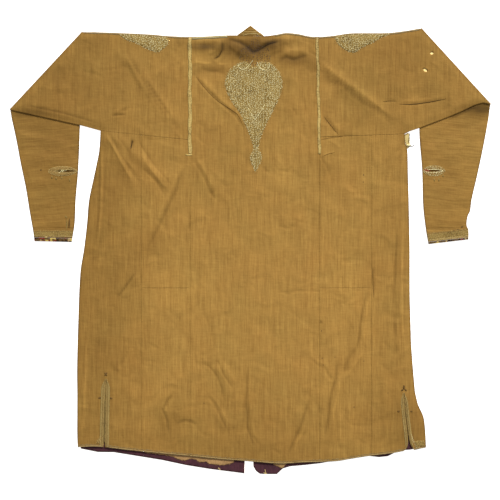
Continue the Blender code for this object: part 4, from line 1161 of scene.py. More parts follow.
def outline_wall(name, outline, step, look, place):
    """A closed wall over an outline. place gives the under and upper heights from x, y and the edge distance."""
    plan, cells, edge = filled(outline, step)
    under, top = place(plan[:, 0], plan[:, 1], edge)
    made = wall(f"cloth_{name}", np.column_stack([plan, top]), np.column_stack([plan, under]), cells, plan, look)
    a, b, c = (plan[[cell[k] for cell in cells]] for k in (0, 1, 2))
    area = 0.5 * np.abs(np.cross(b - a, c - a)).sum()
    size = plan.max(0) - plan.min(0)
    cuts[name] = (size[0], size[1], min(area, size[0] * size[1]))
    print(name, [round(v) for v in size], "mm,", len(made.data.polygons), "faces")
    return made


# %% [markdown]
# ## Fronts, facings and torn cloth
# The fronts lie under the back, face down. Only their hems show, where their dark red facing and a torn
# scrap of tan inner cloth hang out below the back. From beneath they show the opening down the middle.

# %% Front outlines
NECK_STEPS, MOST_HOLLOW = 8, 0.75


def front_outline(side, sleeve, side_rows, hem_rows):
    """From the neck along the shoulder, round the armhole, down the side, along the hem and up the centre."""
    neck_x = FRONT_CENTRE + side * FRONT_NECK_HALF_WIDTH
    shoulder = [lerp(neck_x, sleeve.armhole[0] - side * SEAM, step / NECK_STEPS) for step in range(NECK_STEPS + 1)]
    points = [(x, float(follow(SHOULDER, x))) for x in shoulder]
    points.append((sleeve.corner[0] - side * SEAM, sleeve.corner[1] - SEAM))
    under_x, under_y = sleeve.underarm[0]
    points.append((under_x, under_y - SEAM))
    lowest = hem_rows[0][1] if side < 0 else hem_rows[-1][1]
    ladder = [y for y, _ in reversed(side_rows) if lowest + 10 < y < under_y - 10]
    points += [(float(follow(side_rows, y)), y) for y in ladder]
    points += hem_rows if side < 0 else list(reversed(hem_rows))
    points[-1] = (FRONT_CENTRE + side * FRONT_GAP_AT_HEM / 2, points[-1][1])
    neck_y = float(follow(SHOULDER, neck_x))
    points.append((FRONT_CENTRE + side * FRONT_GAP_AT_NECK / 2, neck_y - FRONT_NECK_DROP))
    for step in range(NECK_STEPS - 1, 0, -1):
        share = step / NECK_STEPS
        x = FRONT_CENTRE + side * lerp(FRONT_NECK_HALF_WIDTH, FRONT_GAP_AT_NECK / 2, share)
        points.append((x, neck_y - FRONT_NECK_DROP * (1 - (1 - share) ** 1.6)))
    return points


def front_heights(x, y, edge):
    """The front rests on the surface, so its creases and seams are shallow hollows in its underside."""
    hollow = 0.18 * (1 + np.sin(x / 37 + 1.2 * np.sin(y / 83))) + 0.12 * np.maximum(creased(-x, y, CREASES), 0)
    for seam_x in (LOOM_LEFT, LOOM_RIGHT, GORE_LEFT, GORE_RIGHT):
        hollow = hollow + 0.5 * np.exp(-(((x - seam_x) / 3) ** 2))
    hollow = np.minimum(hollow, MOST_HOLLOW) * smooth(edge / 6)
    return 0.25 * rolled(edge) + hollow, WALL - 0.35 * rolled(edge)


front_pieces = {}
for side_name, side, sleeve, side_rows, hem_rows in (
    ("left", -1, LEFT, SIDE_LEFT, FRONT_HEM_LEFT), ("right", 1, RIGHT, SIDE_RIGHT, FRONT_HEM_RIGHT),
):
    front_pieces[f"front_{side_name}"] = outline_wall(
        f"front_{side_name}", front_outline(side, sleeve, side_rows, hem_rows), 9.0, ROBE_CLOTH, front_heights,
    )

# %% Facings, scrap, tongue and torn lining
FACING_Z = WALL + SEAM
SCRAP_Z = FACING_Z + FACING_WALL + SEAM
FACING_INSET, HIDDEN_DEPTH = 0.8, 9
chance = np.random.default_rng(7)


def ragged(points, step, tear):
    """The same line with small uneven steps, as torn cloth has."""
    line = even_points(points, step)
    line[1:-1, 1] += chance.normal(0, tear, len(line) - 2)
    line[1:-1, 0] += chance.normal(0, tear * 0.5, len(line) - 2)
    return line.tolist()


def thin_heights(low, thickness, wave):
    """Heights of a thin piece that waves a little between its neighbours."""
    def place(x, y, edge):
        lift = wave * (1 + np.sin(x / 11 + y / 17)) / 2 * smooth(edge / 5)
        return low + lift, low + lift + thickness * (1 - 0.4 * np.exp(-((edge / 1.2) ** 2)))
    return place


hem_pieces = {}
for name, rows in (("hem_facing_left", FRONT_HEM_LEFT), ("hem_facing_right", FRONT_HEM_RIGHT)):
    low = [(x, y + FACING_INSET) for x, y in rows]
    first, last = low[0][0] + 0.6, low[-1][0] - 0.2
    low[0], low[-1] = (first, low[0][1]), (last, low[-1][1])
    upper = [(x, float(follow(rows, x)) + FACING_DEPTH) for x in np.linspace(last, first, 9)]
    hem_pieces[name] = outline_wall(name, low + upper, 3.5, MAROON_CLOTH, thin_heights(FACING_Z, FACING_WALL, 0.15))
for name, rows, tear in (("hem_scrap", SCRAP_EDGE, 0.9), ("hem_tongue", TONGUE_EDGE, 0.5)):
    hidden = [(x, float(follow(HEM, x)) + HIDDEN_DEPTH) for x, _ in reversed(rows)]
    hem_pieces[name] = outline_wall(
        name, ragged(rows, 2.2, tear) + hidden, 2.2, TAN_CLOTH, thin_heights(SCRAP_Z, SCRAP_WALL, 0.15)
    )
torn = [(x, y) for y, x in LINING_EDGE]
body_side = [(float(follow(SIDE_RIGHT, y)) + SEAM, y) for y, _ in reversed(LINING_EDGE)]
hem_pieces["underarm_lining"] = outline_wall(
    "underarm_lining", ragged(torn, 1.6, 0.7) + LINING_TOP + body_side, 1.6, CREAM_CLOTH, thin_heights(0.0, WALL, 0.3)
)

# %% [markdown]
# ## Dirt, fading, painted shade and painted highlights
# The cloth isn't one colour: it is dirty at the neck, faded on the chest, and darker on the sleeves. The sides
# are darker as painted shade where the light falls off, and painted shadow lies under the folded sleeve edges
# and in the neck's hollows and creases. Each stain or patch of painted shade is an oval with a soft edge and a
# change of level. Each line, mostly a dark one, follows a sharp crease, a seam or an edge: dark lines on creases
# and edges are painted shade and pale ones painted highlight. A row gives its half width, its change, and x and
# y of its points. Together they are a point attribute called Shade, which the cloth reads.

# %% Stains and painted shade
StainAndShadeOval = namedtuple("StainAndShadeOval", "name x y half_x half_y change")
STAIN_AND_SHADE_OVALS = [
    # Painted shade: both sides are darker where the light falls off towards the edges.
    StainAndShadeOval("left side", -430, -120, 130, 420, -0.24),
    StainAndShadeOval("right side", 400, 20, 90, 380, -0.08),
    StainAndShadeOval("left upper sleeve", -480, 500, 170, 130, -0.2),
    StainAndShadeOval("left chest", -260, 480, 120, 170, -0.05),
    StainAndShadeOval("right upper sleeve", 420, 500, 220, 130, -0.16),
    StainAndShadeOval("left forearm", -575, 230, 100, 190, -0.28),
    StainAndShadeOval("left elbow", -655, 365, 80, 60, -0.16),
    # Painted shadow cast by the folded edge of the left sleeve onto the forearm.
    StainAndShadeOval("left elbow fold", -620, 387, 60, 12, -0.42),
    StainAndShadeOval("left forearm top", -530, 325, 60, 40, -0.14),
    StainAndShadeOval("right forearm", 565, 190, 90, 210, -0.16),
    # Painted shadow inside the fold at the right elbow and on the forearm below it.
    StainAndShadeOval("right elbow", 656, 398, 40, 13, -0.95),
    StainAndShadeOval("right elbow below", 650, 375, 60, 26, -0.22),
    StainAndShadeOval("left armpit", -400, 230, 70, 130, -0.13),
    StainAndShadeOval("below medallion", -50, 240, 150, 150, -0.09),
    # The neck ovals are real dirt together with painted shade in the hollows and creases of the crumpled neck; neck
    # left lit is a painted highlight.
    StainAndShadeOval("neck", 0, 566, 64, 24, -0.72),
    StainAndShadeOval("neck top", 20, 592, 90, 14, -0.3),
    StainAndShadeOval("neck stem", 14, 572, 18, 26, -0.35),
    StainAndShadeOval("neck left", -62, 574, 32, 24, -0.42),
    StainAndShadeOval("neck right", 66, 578, 30, 20, -0.5),
    StainAndShadeOval("neck far left", -128, 574, 38, 10, -1.05),
    StainAndShadeOval("neck rim left", -120, 600, 60, 7, 0.14),
    StainAndShadeOval("neck far right", 184, 588, 44, 20, -0.14),
    StainAndShadeOval("neck left hollow", -100, 508, 36, 14, -0.36),
    StainAndShadeOval("neck left lit", -140, 548, 40, 14, 0.12),
    StainAndShadeOval("neck left blob", -22, 552, 20, 18, -0.2),
    StainAndShadeOval("neck right hollow", 124, 535, 44, 14, -0.42),
    StainAndShadeOval("neck right lower", 182, 506, 30, 34, -0.14),
    StainAndShadeOval("left shoulder end", -440, 600, 110, 30, -0.14),
    StainAndShadeOval("left sleeve edge", -560, 490, 60, 60, -0.1),
    StainAndShadeOval("right shoulder end", 446, 606, 90, 36, -0.14),
    StainAndShadeOval("chest light left", -95, 460, 50, 50, 0.04),
    StainAndShadeOval("lower right light", 285, -110, 70, 110, 0.1),
    StainAndShadeOval("right light", 350, 185, 44, 56, 0.08),
    # Painted shade in the right pleat.
    StainAndShadeOval("right pleat", 300, 352, 38, 30, -0.14),
    StainAndShadeOval("below neck right", 125, 545, 60, 22, -0.14),
    StainAndShadeOval("left skirt light", -250, -110, 90, 70, 0.1),
    StainAndShadeOval("centre light", 60, 195, 90, 50, 0.07),
    StainAndShadeOval("left hip side", -425, -300, 60, 60, -0.06),
    StainAndShadeOval("right of slit", 330, -490, 40, 50, -0.1),
    StainAndShadeOval("below right tape", 212, 228, 26, 48, -0.16),
    StainAndShadeOval("left waist", -282, 14, 46, 40, -0.12),
    StainAndShadeOval("left hip", -352, -75, 46, 44, -0.1),
    StainAndShadeOval("left hem side", -445, -300, 60, 60, -0.08),
    StainAndShadeOval("left hem corner", -425, -490, 90, 110, -0.1),
    StainAndShadeOval("right hem corner", 462, -500, 52, 90, -0.3),
    StainAndShadeOval("right hem side", 405, -430, 50, 110, -0.12),
    StainAndShadeOval("hem", 0, -600, 620, 130, -0.2),
    StainAndShadeOval("hem centre", -30, -480, 150, 130, -0.1),
    # Painted shade in the crumpled hem.
    StainAndShadeOval("hem crumple", -226, -492, 36, 44, -0.2),
    StainAndShadeOval("right hem light", 290, -555, 70, 28, 0.07),
    StainAndShadeOval("beside left tape", -198, 588, 30, 14, -0.2),
    StainAndShadeOval("hem edge", -430, -550, 60, 12, -0.1),
]
print(len(STAIN_AND_SHADE_OVALS), "stains")

# %% Dark and pale lines: mostly painted shade and painted highlight along creases and edges, and dark seams
SCORES = bent_lines([
    (3.5, -0.7, 560, 371, 600, 388, 636, 405, 660, 412, 680, 411),
    (2.2, 0.14, -153, 500, -124, 466, -86, 427, -36, 384, -12, 346),
    (3.6, -0.5, -105, 537, -88, 549, -78, 566, -78, 589),
    (5.5, -0.5, -74, 603, -28, 588, -8, 576, 10, 560, 28, 569, 51, 583, 84, 592),
    (5, -0.25, 10, 558, 28, 569, 51, 582, 84, 592),
    (5, -0.25, -42, 546, -24, 566, -8, 571, 10, 556),
    (6, -0.3, 82, 535, 102, 546, 122, 539, 142, 545, 167, 552),
    (8, -0.16, 209, 484, 258, 470, 292, 442, 323, 416, 390, 380),
    (3.4, -0.25, 208, 379, 229, 352, 252, 325),
    (2.6, 0.12, -417, 296, -417, 200, -418, 116, -424, 40),
    (2.6, -0.2, -424, 296, -425, 200, -427, 116, -433, 40),
    (2.6, -0.1, -297, 487, -266, 439, -221, 374),
    (2.6, 0.1, 431, 57, 431, -57, 430, -170, 432, -255),
    (2.6, -0.08, -314, 337, -311, 300, -272, 243, -212, 174),
    (4, -0.08, -306, 235, -279, 209, -259, 187, -238, 150),
    (5, -0.14, -187, 235, -209, 173, -231, 125, -263, 57, -291, 0),
    (2.4, -0.7, -332, 311, -334, 300, -337, 286),
    (2.6, -0.2, -388, 379, -374, 382, -355, 383),
    (2.8, -0.28, -323, -62, -351, -102, -374, -133),
    (2.4, -0.2, 347, -48, 348, -91, 350, -136),
    (3.2, -0.24, 330, -116, 318, -173, 311, -215, 308, -252, 300, -283),
    (8, -0.14, 300, -277, 276, -311, 265, -351),
    (4, -0.2, 246, -308, 243, -362, 229, -405, 221, -475, 211, -532),
    (5, -0.16, 167, -422, 156, -460, 142, -502, 120, -546, 109, -580),
    (3, -0.2, 415, 96, 413, 0, 409, -113, 413, -184, 410, -260, 422, -314),
    (3, -0.24, -218, -406, -235, -427, -246, -451, -233, -484, -228, -526),
    (4, -0.24, -209, -490, -184, -481, -170, -484, -150, -492),
    (3, -0.2, -8, -328, -11, -422, -6, -504, 13, -558),
    (3, -0.12, -143, -317, -116, -328, -92, -357, -78, -396, -68, -444),
    (3, -0.16, -93, -308, -74, -351, -48, -391),
    (3, -0.16, -92, -445, -88, -460, -62, -512),
    (2.2, -0.06, -168, 262, -168, -110, -168, -560),
    (2.2, -0.08, 196, 262, 197, -300, 197, -560),
    (4, -0.5, 200, -200, 201, -206),
    (2.2, -0.1, -308, 330, -307, -200, -307, -540),
    (2.2, -0.08, 338, 320, 343, -20, 343, -540),
    (2.4, -0.05, 198, 311, 243, 320, 311, 325),
    (2.2, -0.1, -306, -108, -172, -108),
    (2.2, -0.08, 198, -108, 340, -108),
    (2.4, -0.2, -640, 411, -532, 388, -424, 356),
    (2.4, -0.14, -540, 540, -543, 372),
    (2.4, -0.16, 562, 530, 562, 396),
    (2.6, 0.28, -461, -255, -467, -380, -472, -510),
    (2.6, 0.16, -170, 532, -120, 528, -60, 526),
    (2.6, 0.2, 107, 604, 106, 570, 108, 540),
])
print(len(SCORES), "lines")

# %% Shade of every cloth piece
# Painted shade and painted highlight along the creases: each hollow is drawn darker and each ridge paler, with the
# change set below for each millimetre of height. EDGE_SHADE draws every edge darker, also as painted shade.
CREASE_SHADE, SHADE_LINE_HALF_WIDTH = 0.085, 2.6
EDGE_SHADE = 0.5
EDGES = [SHOULDER, [(x, y) for y, x in SIDE_LEFT], [(x, y) for y, x in SIDE_RIGHT]]
for sleeve in (LEFT, RIGHT):
    EDGES += [[sleeve.elbow, sleeve.tip]]
    EDGES += [[(x, y) for y, x in line if y < 400] for line in (sleeve.forearm_inner, sleeve.forearm_outer)]


def darkening(obj):
    """How dark the stains, the painted shade and the painted highlights make each point of a piece, as a factor."""
    place = np.empty(len(obj.data.vertices) * 3)
    obj.data.vertices.foreach_get("co", place)
    x, y, _ = place.reshape(-1, 3).T / MM
    total = np.zeros(len(x))
    for row in STAIN_AND_SHADE_OVALS:
        total += row.change * np.exp(-(((x - row.x) / row.half_x) ** 2 + ((y - row.y) / row.half_y) ** 2))
    total += along_lines(x, y, SCORES, 6, 0.2) + CREASE_SHADE * along_lines(x, y, CREASES, 5, 0, SHADE_LINE_HALF_WIDTH)
    # Painted shade along every edge.
    for line in EDGES:
        total -= EDGE_SHADE * np.exp(-((near_line(x, y, line)[0] / SHADE_LINE_HALF_WIDTH) ** 2))
    return np.exp(total)


def shade(obj, level=1.0, marked=True):
    """Gives a piece its Shade, from the place of each point."""
    factor = darkening(obj) if marked else np.ones(len(obj.data.vertices))
    layer = obj.data.attributes.new("Shade", "FLOAT", "POINT")
    layer.data.foreach_set("value", level * factor)


def take_dirt_and_shade(*objects):
    """Stitches and tapes take the same dirt and painted shade as the cloth below them."""
    for obj in objects:
        layer = obj.data.attributes.new("DirtAndShade", "FLOAT", "POINT")
        layer.data.foreach_set("value", 1 - np.minimum(darkening(obj), 1))


for obj in [*cloths.values(), *cuff_pieces.values()]:
    shade(obj)
for obj in front_pieces.values():
    shade(obj, 0.85, marked=False)
for name, obj in hem_pieces.items():
    shade(obj, 1.03 if name == "underarm_lining" else 1.0, marked=False)
print(len(cloths) + len(cuff_pieces) + len(front_pieces) + len(hem_pieces), "cloth pieces shaded")

# %% [markdown]
# ## Laying trim on the cloth
# Trim is placed by its plan and dropped onto whatever cloth lies below it. A ray cast straight down onto
# each piece gives the height there.

# %% Height of the dressed cloth
def surface(obj):
    """A piece as a tree of its faces, with the corners of its plan."""
    tree = BVHTree.FromObject(obj, bpy.context.evaluated_depsgraph_get())
    corners = np.array([tuple(corner) for corner in obj.bound_box]) / MM
    return tree, corners.min(0)[:2] - 1, corners.max(0)[:2] + 1


surfaces = [surface(obj) for obj in [*cloths.values(), *cuff_pieces.values(), *hem_pieces.values()]]
print(len(surfaces), "pieces to lay trim on")


def laid(plan):
    """Height of the highest cloth under each plan point."""
    heights = np.zeros(len(plan))
    for tree, low, high in surfaces:
        for k in np.flatnonzero(((plan > low) & (plan < high)).all(1)):
            hit = tree.ray_cast(Vector((plan[k, 0] * MM, plan[k, 1] * MM, 0.1)), Vector((0, 0, -1)))[0]
            if hit:
                heights[k] = max(heights[k], hit.z / MM)
    return heights


def path_object(name, lines, lift):
    """Open or closed lines laid on the cloth, as edges without faces."""
    points, edges = [], []
    for line in lines:
        line = np.asarray(line, float)
        first = len(points)
        z = laid(line[:, :2]) + lift
        points += np.column_stack([line[:, :2], z]).tolist()
        edges += [(first + k, first + k + 1) for k in range(len(line) - 1)]
    mesh = bpy.data.meshes.new(name)
    mesh.from_pydata((np.array(points) * MM).tolist(), edges, [])
    return link(name, mesh)


# %% [markdown]
# ## Threads by Geometry Nodes
# Embroidery is the same few stitches many times over. Three small trees make all of it: one scatters a
# stitch over a surface, one repeats a stitch along a path, and one runs a cord along a path. Each takes
# its sizes as named inputs, and its result is kept as a plain mesh.

# %% Three thread trees
def new_tree(name, inputs):
    tree = bpy.data.node_groups.new(name, "GeometryNodeTree")
    tree.interface.new_socket("Geometry", in_out="INPUT", socket_type="NodeSocketGeometry")
    tree.interface.new_socket("Geometry", in_out="OUTPUT", socket_type="NodeSocketGeometry")
    for label, kind in inputs.items():
        tree.interface.new_socket(label, in_out="INPUT", socket_type=f"NodeSocket{kind}")
    return tree, add(tree, "NodeGroupInput").outputs


def spaced_curve(tree, given):
    """The shared start of both path trees: the path as a curve with even points."""
    curve = add(tree, "GeometryNodeMeshToCurve", {0: given["Geometry"]})
    return add(tree, "GeometryNodeResampleCurve", {"Curve": curve, "Length": given["Spacing"]}, mode="LENGTH")


def dressed(tree, given, mesh):
    """The end of every tree: its material and its output."""
    whole = add(tree, "GeometryNodeSetMaterial", {"Geometry": mesh, "Material": given["Material"]})
    add(tree, "NodeGroupOutput", {0: whole})
    return tree


def place_stitches(tree, given, points, rotation):
    """The shared end of both stitch trees: a stitch on each point, turned and sized at random."""
    turn, size = (
        add(tree, "FunctionNodeRandomValue", {2: least, 3: most, 8: given["Seed"]}, data_type="FLOAT").outputs[1]
        for least, most in ((0.0, given["Turn"]), (given["Least"], given["Most"]))
    )
    spin = add(tree, "FunctionNodeEulerToRotation", {0: add(tree, "ShaderNodeCombineXYZ", {"Z": turn})})
    final = add(tree, "FunctionNodeRotateRotation", {0: rotation, 1: spin}, rotation_space="LOCAL")
    stitch = add(tree, "GeometryNodeObjectInfo", {"Object": given["Stitch"], "As Instance": True})
    placed = add(tree, "GeometryNodeInstanceOnPoints", {
        "Points": points, "Instance": stitch.outputs["Geometry"], "Rotation": final, "Scale": size,
    })
    return dressed(tree, given, add(tree, "GeometryNodeRealizeInstances", {"Geometry": placed}))


STITCH_INPUTS = {
    "Stitch": "Object", "Spacing": "Float", "Turn": "Float", "Least": "Float", "Most": "Float",
    "Seed": "Int", "Material": "Material",
}


def scatter_tree():
    tree, given = new_tree("stitches over a surface", STITCH_INPUTS)
    spots = add(tree, "GeometryNodeDistributePointsOnFaces", {
        "Mesh": given["Geometry"], "Distance Min": given["Spacing"], "Density Max": 400000.0, "Seed": given["Seed"],
    }, distribute_method="POISSON")
    return place_stitches(tree, given, spots.outputs["Points"], spots.outputs["Rotation"])


def row_tree():
    tree, given = new_tree("stitches along a path", STITCH_INPUTS)
    tangent = add(tree, "GeometryNodeInputTangent")
    along = add(tree, "FunctionNodeAlignRotationToVector", {"Vector": tangent}, axis="X", pivot_axis="Z")
    return place_stitches(tree, given, spaced_curve(tree, given), along)


def cord_tree():
    tree, given = new_tree("cord along a path", {"Radius": "Float", "Spacing": "Float", "Material": "Material"})
    round_edge = add(tree, "GeometryNodeCurvePrimitiveCircle", {"Resolution": 4, "Radius": given["Radius"]})
    return dressed(tree, given, add(tree, "GeometryNodeCurveToMesh", {
        "Curve": spaced_curve(tree, given), "Profile Curve": round_edge, "Fill Caps": True,
    }))


SCATTER, ROW, CORD = scatter_tree(), row_tree(), cord_tree()


def grown(source, tree, **values):
    """Runs a tree on an object, keeps the result as its plain mesh, and returns the object."""
    modifier = source.modifiers.new(tree.name, "NODES")
    modifier.node_group = tree
    for item in tree.interface.items_tree:
        if item.in_out == "INPUT" and item.name in values:
            modifier[item.identifier] = values[item.name]
    made_plain(source)
    return source


# %% [markdown]
# Five stitches are enough: a curl of gold thread, a bar that closes the slits, a short straight stitch, a
# pointed tooth for the toothed edges, and a loose fibre for torn cloth. Each has only a few dozen faces,
# because it is repeated often.

# %% Stitch shapes
def thread_shape(name, points, radius):
    mesh = bpy.data.meshes.new(name)
    mesh.from_pydata((np.array(points, float) * MM).tolist(), [(k, k + 1) for k in range(len(points) - 1)], [])
    source = link(name, mesh)
    return grown(source, CORD, Radius=radius * MM, Spacing=0.9 * MM, Material=GOLD_CURLS)


turn = np.linspace(0, 1.55 * math.pi, 10)
reach = 2.3 * (1 - 0.5 * turn / turn[-1])
CURL = thread_shape("curl", np.column_stack([reach * np.cos(turn), reach * np.sin(turn), 0.25 + 0 * turn]), 0.42)
BAR = thread_shape("bar", [(0, -0.8, 0), (0, 0, 0.25), (0, 2.0, 0.25), (0, 3.0, 0)], 0.45)
STITCH = thread_shape("stitch", [(-1.5, 0, 0), (-0.7, 0, 0.2), (0.7, 0, 0.2), (1.5, 0, 0)], 0.28)
TOOTH = thread_shape("tooth", [(-1.1, 0, 0.1), (-0.3, 2.4, 0.3), (0.3, 2.4, 0.3), (1.1, 0, 0.1)], 0.34)
FIBRE = thread_shape("fibre", [(0, 0, 0), (0.6, 1.4, 0.3), (0.2, 2.8, 0.5), (1.0, 4.2, 0.3)], 0.16)
print("curl faces:", len(CURL.data.polygons), "tooth faces:", len(TOOTH.data.polygons))

# %% Embroidered patches, cords and rows
THIN, CROWN_RUN = 0.12, 2.5
ROW_SEED = 3
trims = {}


def keep(group, *objects, slot="cuff_embroidery"):
    """Files trim under the cloth that carries it. The slot argument is not used."""
    for obj in objects:
        trims.setdefault(group, []).append(obj)
    print(group, "carries", ", ".join(obj.name for obj in objects))


def patch_form(outline, step=3.0, lift=0.15, crown=0.45):
    """A low patch laid on the cloth, higher in its middle: its cells, lower points and upper points."""
    plan, cells, edge = filled(outline, step)
    low = laid(plan) + lift
    top = low + THIN + crown * smooth(edge / CROWN_RUN)
    return cells, np.column_stack([plan, low]), np.column_stack([plan, top])


def ground_of(name, form, look):
    cells, low, top = form
    return wall(name, top, low, cells, low[:, :2], look)


def face_of(name, form):
    """The open upper face of a patch, for stitches to be scattered over."""
    cells, _, top = form
    mesh = bpy.data.meshes.new(name)
    mesh.from_pydata((top * MM).tolist(), [], cells)
    return link(name, mesh)


def patch(name, outline, look, **sizes):
    """An embroidered ground laid on the cloth, and its open upper face."""
    form = patch_form(outline, **sizes)
    return ground_of(name, form, look), face_of(f"{name}_face", form)


def curls_on(face, name, gap, least, most, seed, look=GOLD_CURLS):
    face.name = name
    return grown(
        face, SCATTER, Stitch=CURL, Spacing=gap * MM, Turn=math.tau, Least=least, Most=most, Seed=seed,
        Material=look,
    )


def cord(name, lines, radius, look=GOLD_CORD, lift=0.3):
    return grown(path_object(name, lines, lift), CORD, Radius=radius * MM, Spacing=1.8 * MM, Material=look)


def row(name, lines, stitch, gap, least, most, look, turn=0.0, lift=0.15):
    return grown(
        path_object(name, lines, lift), ROW, Stitch=stitch, Spacing=gap * MM, Turn=turn, Least=least, Most=most,
        Seed=ROW_SEED, Material=look,
    )


# %% [markdown]
# ## The back medallion
# A large drop of close gold work hangs from the neck: two lobes at the top, a long taper, and a small
# palmette below. The outline is a few given points and the scrolls inside are the builder's own, on
# the usual plan of such robes: a stem with paired scrolls that shrink towards the tip. It has no hard
# outline. Its edge is a row of curls, with small dark stitches in the notches between them.

# %% Medallion
MEDALLION = [
    (8, 520), (-8, 533), (-26, 532), (-43, 523), (-58, 510), (-68, 492), (-72, 470), (-67, 447), (-57, 427),
    (-43, 405), (-27, 382), (-16, 357), (-6, 334), (2, 312), (7, 297), (9, 288), (5, 278), (0, 268), (0, 254),
    (7, 236), (15.5, 219), (25, 236), (33, 254), (34, 268), (31, 278), (26, 288), (27, 298), (30, 312),
    (39, 336), (49, 358), (62, 384), (75, 410), (86, 436), (93, 464), (90, 490), (79, 510), (64, 526),
    (46, 533), (28, 532), (16, 522),
]
SCROLLS = [(505, 34, 13), (478, 62, 12), (470, 24, 13), (446, 50, 12), (430, 20, 11), (412, 36, 10), (392, 14, 9),
           (374, 24, 8), (352, 12, 7), (328, 7, 5), (268, 8, 6)]
SCROLL_TURNS, SCROLL_SHRINK, SCROLL_START = 1.4, 0.78, -0.5
STEM_TIP_X, STEM_TIP_Y, STEM_LENGTH, STEM_LEAN = 15.5, 221, 300, 5.5
ANY_WAY = 6.2


def moved_out(line, by):
    """A closed line moved outwards by some millimetres, or inwards when it is less than nothing."""
    line = np.asarray(line, float)[:-1]
    way = np.roll(line, -1, 0) - np.roll(line, 1, 0)
    way /= np.linalg.norm(way, axis=1, keepdims=True)
    spin = np.sign(np.sum(line[:, 0] * np.roll(line[:, 1], -1) - np.roll(line[:, 0], -1) * line[:, 1]))
    out = line + by * spin * np.column_stack([way[:, 1], -way[:, 0]])
    return np.vstack([out, out[:1]])


def stem(y):
    """The medallion's middle line leans a little to the right towards its tip."""
    return STEM_TIP_X - STEM_LEAN * smooth((y - STEM_TIP_Y) / STEM_LENGTH)


def scroll(x, y, radius, hand):
    angle = np.linspace(0, SCROLL_TURNS * math.tau, 26)
    reach = radius * (1 - SCROLL_SHRINK * angle / angle[-1])
    angle = angle + SCROLL_START
    return np.column_stack([x + hand * reach * np.cos(angle), y + reach * np.sin(angle)])


medallion_line = even_points(MEDALLION, 3.0, closed=True)
ground, face = patch("medallion_ground", moved_out(medallion_line, -2.2)[:-1], GROUND, crown=0.3)
curls = curls_on(face, "medallion_curls", 5.0, 0.8, 1.12, 11)
edge_line, notch_line = (moved_out(medallion_line, by) for by in (-1.0, 2.4))
edge_curls = row("medallion_edge_curls", [edge_line], CURL, 5.2, 0.6, 0.9, GOLD_CORD, turn=ANY_WAY)
notches = row("medallion_notches", [notch_line], STITCH, 5.2, 0.5, 0.9, GROUND, turn=ANY_WAY)
scrolls = [scroll(stem(y) + hand * out, y, radius, hand) for y, out, radius in SCROLLS for hand in (-1, 1)]
scroll_cords = cord("medallion_scrolls", scrolls, 0.5, lift=0.6)
down = np.linspace(520, 226, 60)
stem_cord = cord("medallion_stem", [np.column_stack([stem(down), down])], 0.6, GROUND, lift=0.9)
top_arcs = cord("medallion_top_arcs", [
    even_points([(-34, 527), (-31, 516), (-20, 510), (-8, 517), (8, 535)], 2.0),
    even_points([(20, 531), (27, 516), (42, 508), (54, 516), (56, 530)], 2.0),
], 0.75, GOLD_CURLS, lift=1.0)
veins = cord("medallion_veins", [
    even_points([(14, 368), (28, 388), (42, 410)], 3), even_points([(14, 368), (2, 388), (-8, 404)], 3),
], 0.6, GOLD_CURLS, lift=0.9)
dot = cord("medallion_drop", [turned(pointed_oval(3, 3, 8), 0, 20, 294)], 1.2, DARK_THREAD, lift=0.6)
keep("back_centre", ground, curls, edge_curls, notches, scroll_cords, stem_cord, top_arcs, veins, dot)

# %% [markdown]
# Above the lobes the same work spreads into a small fan at the neck. It is the dirtiest part of the robe and lies in
# its folds, so its stitches take the cloth's own stains and painted shade.

# %% Neck fan
NECK_FAN = [
    (10, 520), (-30, 534), (-31, 552), (-26, 566), (-12, 575), (-1, 584), (3, 598), (14, 603), (25, 598),
    (28, 584), (40, 577), (57, 567), (60, 548), (55, 532),
]
FAN_ARCS = [(-28, 540), (-20, 552), (-4, 548), (6, 536)], [(58, 540), (48, 554), (32, 550), (24, 538)]
fan_line = even_points(NECK_FAN, 3.0, closed=True)
face = face_of("neck_fan_face", patch_form(moved_out(fan_line, -3.0)[:-1], lift=0.0, crown=0.0))
fan_curls = curls_on(face, "neck_fan_curls", 5.4, 0.45, 0.95, 5, STAINED_SILK)
dot_lines = [moved_out(fan_line, -4.0)[::2], *(even_points(arc, 2) for arc in FAN_ARCS)]
fan_dots = row("neck_fan_dots", dot_lines, CURL, 6.0, 0.4, 0.75, GOLD_CORD, turn=ANY_WAY)
take_dirt_and_shade(fan_dots)
keep("back_centre", fan_curls, fan_dots)

# %% Shoulder patches
SHOULDER_LEFT = [
    (-369, 610), (-330, 609), (-290, 606), (-250, 603), (-233, 601), (-231, 583), (-246, 567), (-262, 559),
    (-283, 564), (-303, 574), (-322, 584), (-353, 595),
]
SHOULDER_RIGHT = [
    (243, 604), (290, 610), (340, 611), (394, 611), (368, 598), (345, 584), (316, 571), (296, 557), (272, 563),
    (247, 583),
]
for side, outline, seed in (("left", SHOULDER_LEFT, 21), ("right", SHOULDER_RIGHT, 22)):
    inset = [(x, min(y, float(follow(SHOULDER, x)) - 2.5)) for x, y in even_points(outline, 3.0, closed=True)]
    ground, face = patch(f"shoulder_{side}_ground", moved_out(inset, -1.5)[:-1], GROUND, crown=0.3)
    curls = curls_on(face, f"shoulder_{side}_curls", 5.0, 0.75, 1.1, seed)
    edge_curls = row(f"shoulder_{side}_edge", [inset], CURL, 5.4, 0.5, 0.8, GOLD_CORD, turn=ANY_WAY)
    low_edge = [p for p in moved_out(inset, 4.0) if p[1] < float(follow(SHOULDER, p[0])) - 6]
    low_edge = sorted(low_edge, key=lambda p: p[0])
    notches = row(f"shoulder_{side}_notches", [low_edge], STITCH, 5.0, 0.6, 0.9, DULL_CURLS, turn=1.0)
    keep(f"sleeve_{side}", ground, curls, edge_curls, notches)

# %% [markdown]
# ## Hem slits
# A dull olive band runs up both lips of each hem slit and closes over it in a small arch with a bud
# above and one at each side. Each lip has its own strip, and short bars of thread close the slit between
# them. Along each band run a dark line and a paler one.

